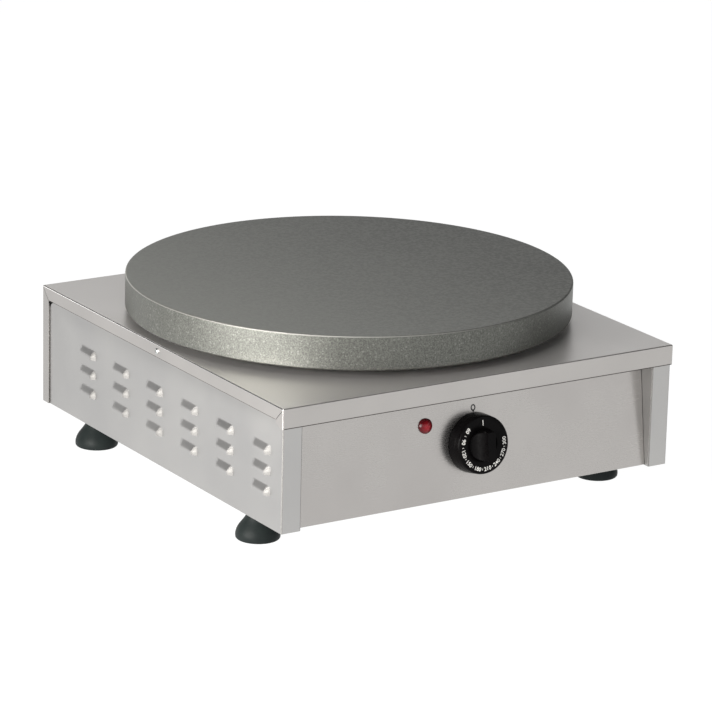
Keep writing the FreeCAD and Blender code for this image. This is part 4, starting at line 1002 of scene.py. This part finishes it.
world = bpy.data.worlds.new("soft room")
bpy.context.scene.world = world
world.use_nodes = True
tree = world.node_tree
tree.nodes.clear()
looking = add(tree, "ShaderNodeTexCoord").outputs["Generated"]
direction = add(tree, "ShaderNodeSeparateXYZ", {0: looking}).outputs
in_front = ranged(tree, direction["Y"], -0.2, 0.3, 0.4, 0.0)
to_the_right = ranged(tree, direction["X"], -0.5, 0.4, 0.06, 0.42)
skyline = worked(tree, "MAXIMUM", to_the_right, in_front)
overhead = ranged(tree, worked(tree, "SUBTRACT", direction["Z"], skyline), 0.0, 0.14)
walls = blend(tree, ranged(tree, direction["Y"], 0.0, 0.6), colour("ffffff"), colour("c2c2c2"))
right_wall = blend(tree, ranged(tree, direction["X"], 0.62, 0.85), walls, colour("5c5c5c"))
room = blend(tree, overhead, right_wall, colour("4a4a4a"))
backdrop = add(tree, "ShaderNodeBackground", {"Color": room, "Strength": room_glow})
add(tree, "ShaderNodeOutputWorld", {"Surface": backdrop.outputs[0]})


def soft_lamp(name, azimuth, elevation, distance, width, height, power, tint):
    """A soft box that faces the appliance; azimuth 0 is in front and minus is to the left."""
    lamp = bpy.data.lights.new(name, "AREA")
    lamp.shape = "RECTANGLE"
    lamp.size, lamp.size_y = width, height
    lamp.energy = power
    lamp.color = colour(tint)[:3]
    made = bpy.data.objects.new(name, lamp)
    bpy.context.collection.objects.link(made)
    side, rise = math.radians(azimuth), math.radians(elevation)
    towards = Vector((math.sin(side) * math.cos(rise), -math.cos(side) * math.cos(rise),
                      math.sin(rise)))
    made.location = towards * distance + Vector((0, 0, lamp_aim_height))
    made.rotation_euler = towards.to_track_quat("Z", "Y").to_euler()
    made.visible_camera = False


soft_lamp("key", azimuth=-74, elevation=10, distance=1.05, width=0.7, height=0.5, power=21.5,
          tint="fffcf9")
soft_lamp("strip", azimuth=-150, elevation=6, distance=2.2, width=0.5, height=0.3, power=0.9,
          tint="ffffff")
soft_lamp("top", azimuth=-60, elevation=70, distance=1.4, width=0.8, height=0.8, power=4,
          tint="ffffff")

# Camera: a long lens at the photograph's height and angle, matched to the corners of the housing
# and the rim of the plate. Its place is in metres.
focal_mm, film_mm = 198.34, 36.0
turn, rise, roll = math.radians(-32.57), math.radians(16.78), math.radians(1.42)
distance, shift_x, shift_y, aim_height = 3.52326, 0.0048, 0.01399, 0.089
back = Vector((math.sin(turn) * math.cos(rise), -math.cos(turn) * math.cos(rise), math.sin(rise)))
right = Vector((math.cos(turn), math.sin(turn), 0))
up = back.cross(right)
right_rolled = right * math.cos(roll) + up * math.sin(roll)
up_rolled = up * math.cos(roll) - right * math.sin(roll)
lens = bpy.data.cameras.new("long lens")
lens.sensor_fit = "HORIZONTAL"
lens.sensor_width = film_mm
lens.lens = focal_mm
lens.clip_start, lens.clip_end = 0.1, 60.0
camera = bpy.data.objects.new("camera", lens)
bpy.context.collection.objects.link(camera)
stand = back * distance + right_rolled * shift_x + up_rolled * shift_y + Vector((0, 0, aim_height))
aimed = Matrix((right_rolled, up_rolled, back)).transposed().to_4x4()
camera.matrix_world = Matrix.Translation(stand) @ aimed
bpy.context.scene.camera = camera
bpy.context.scene.view_settings.view_transform = "Standard"
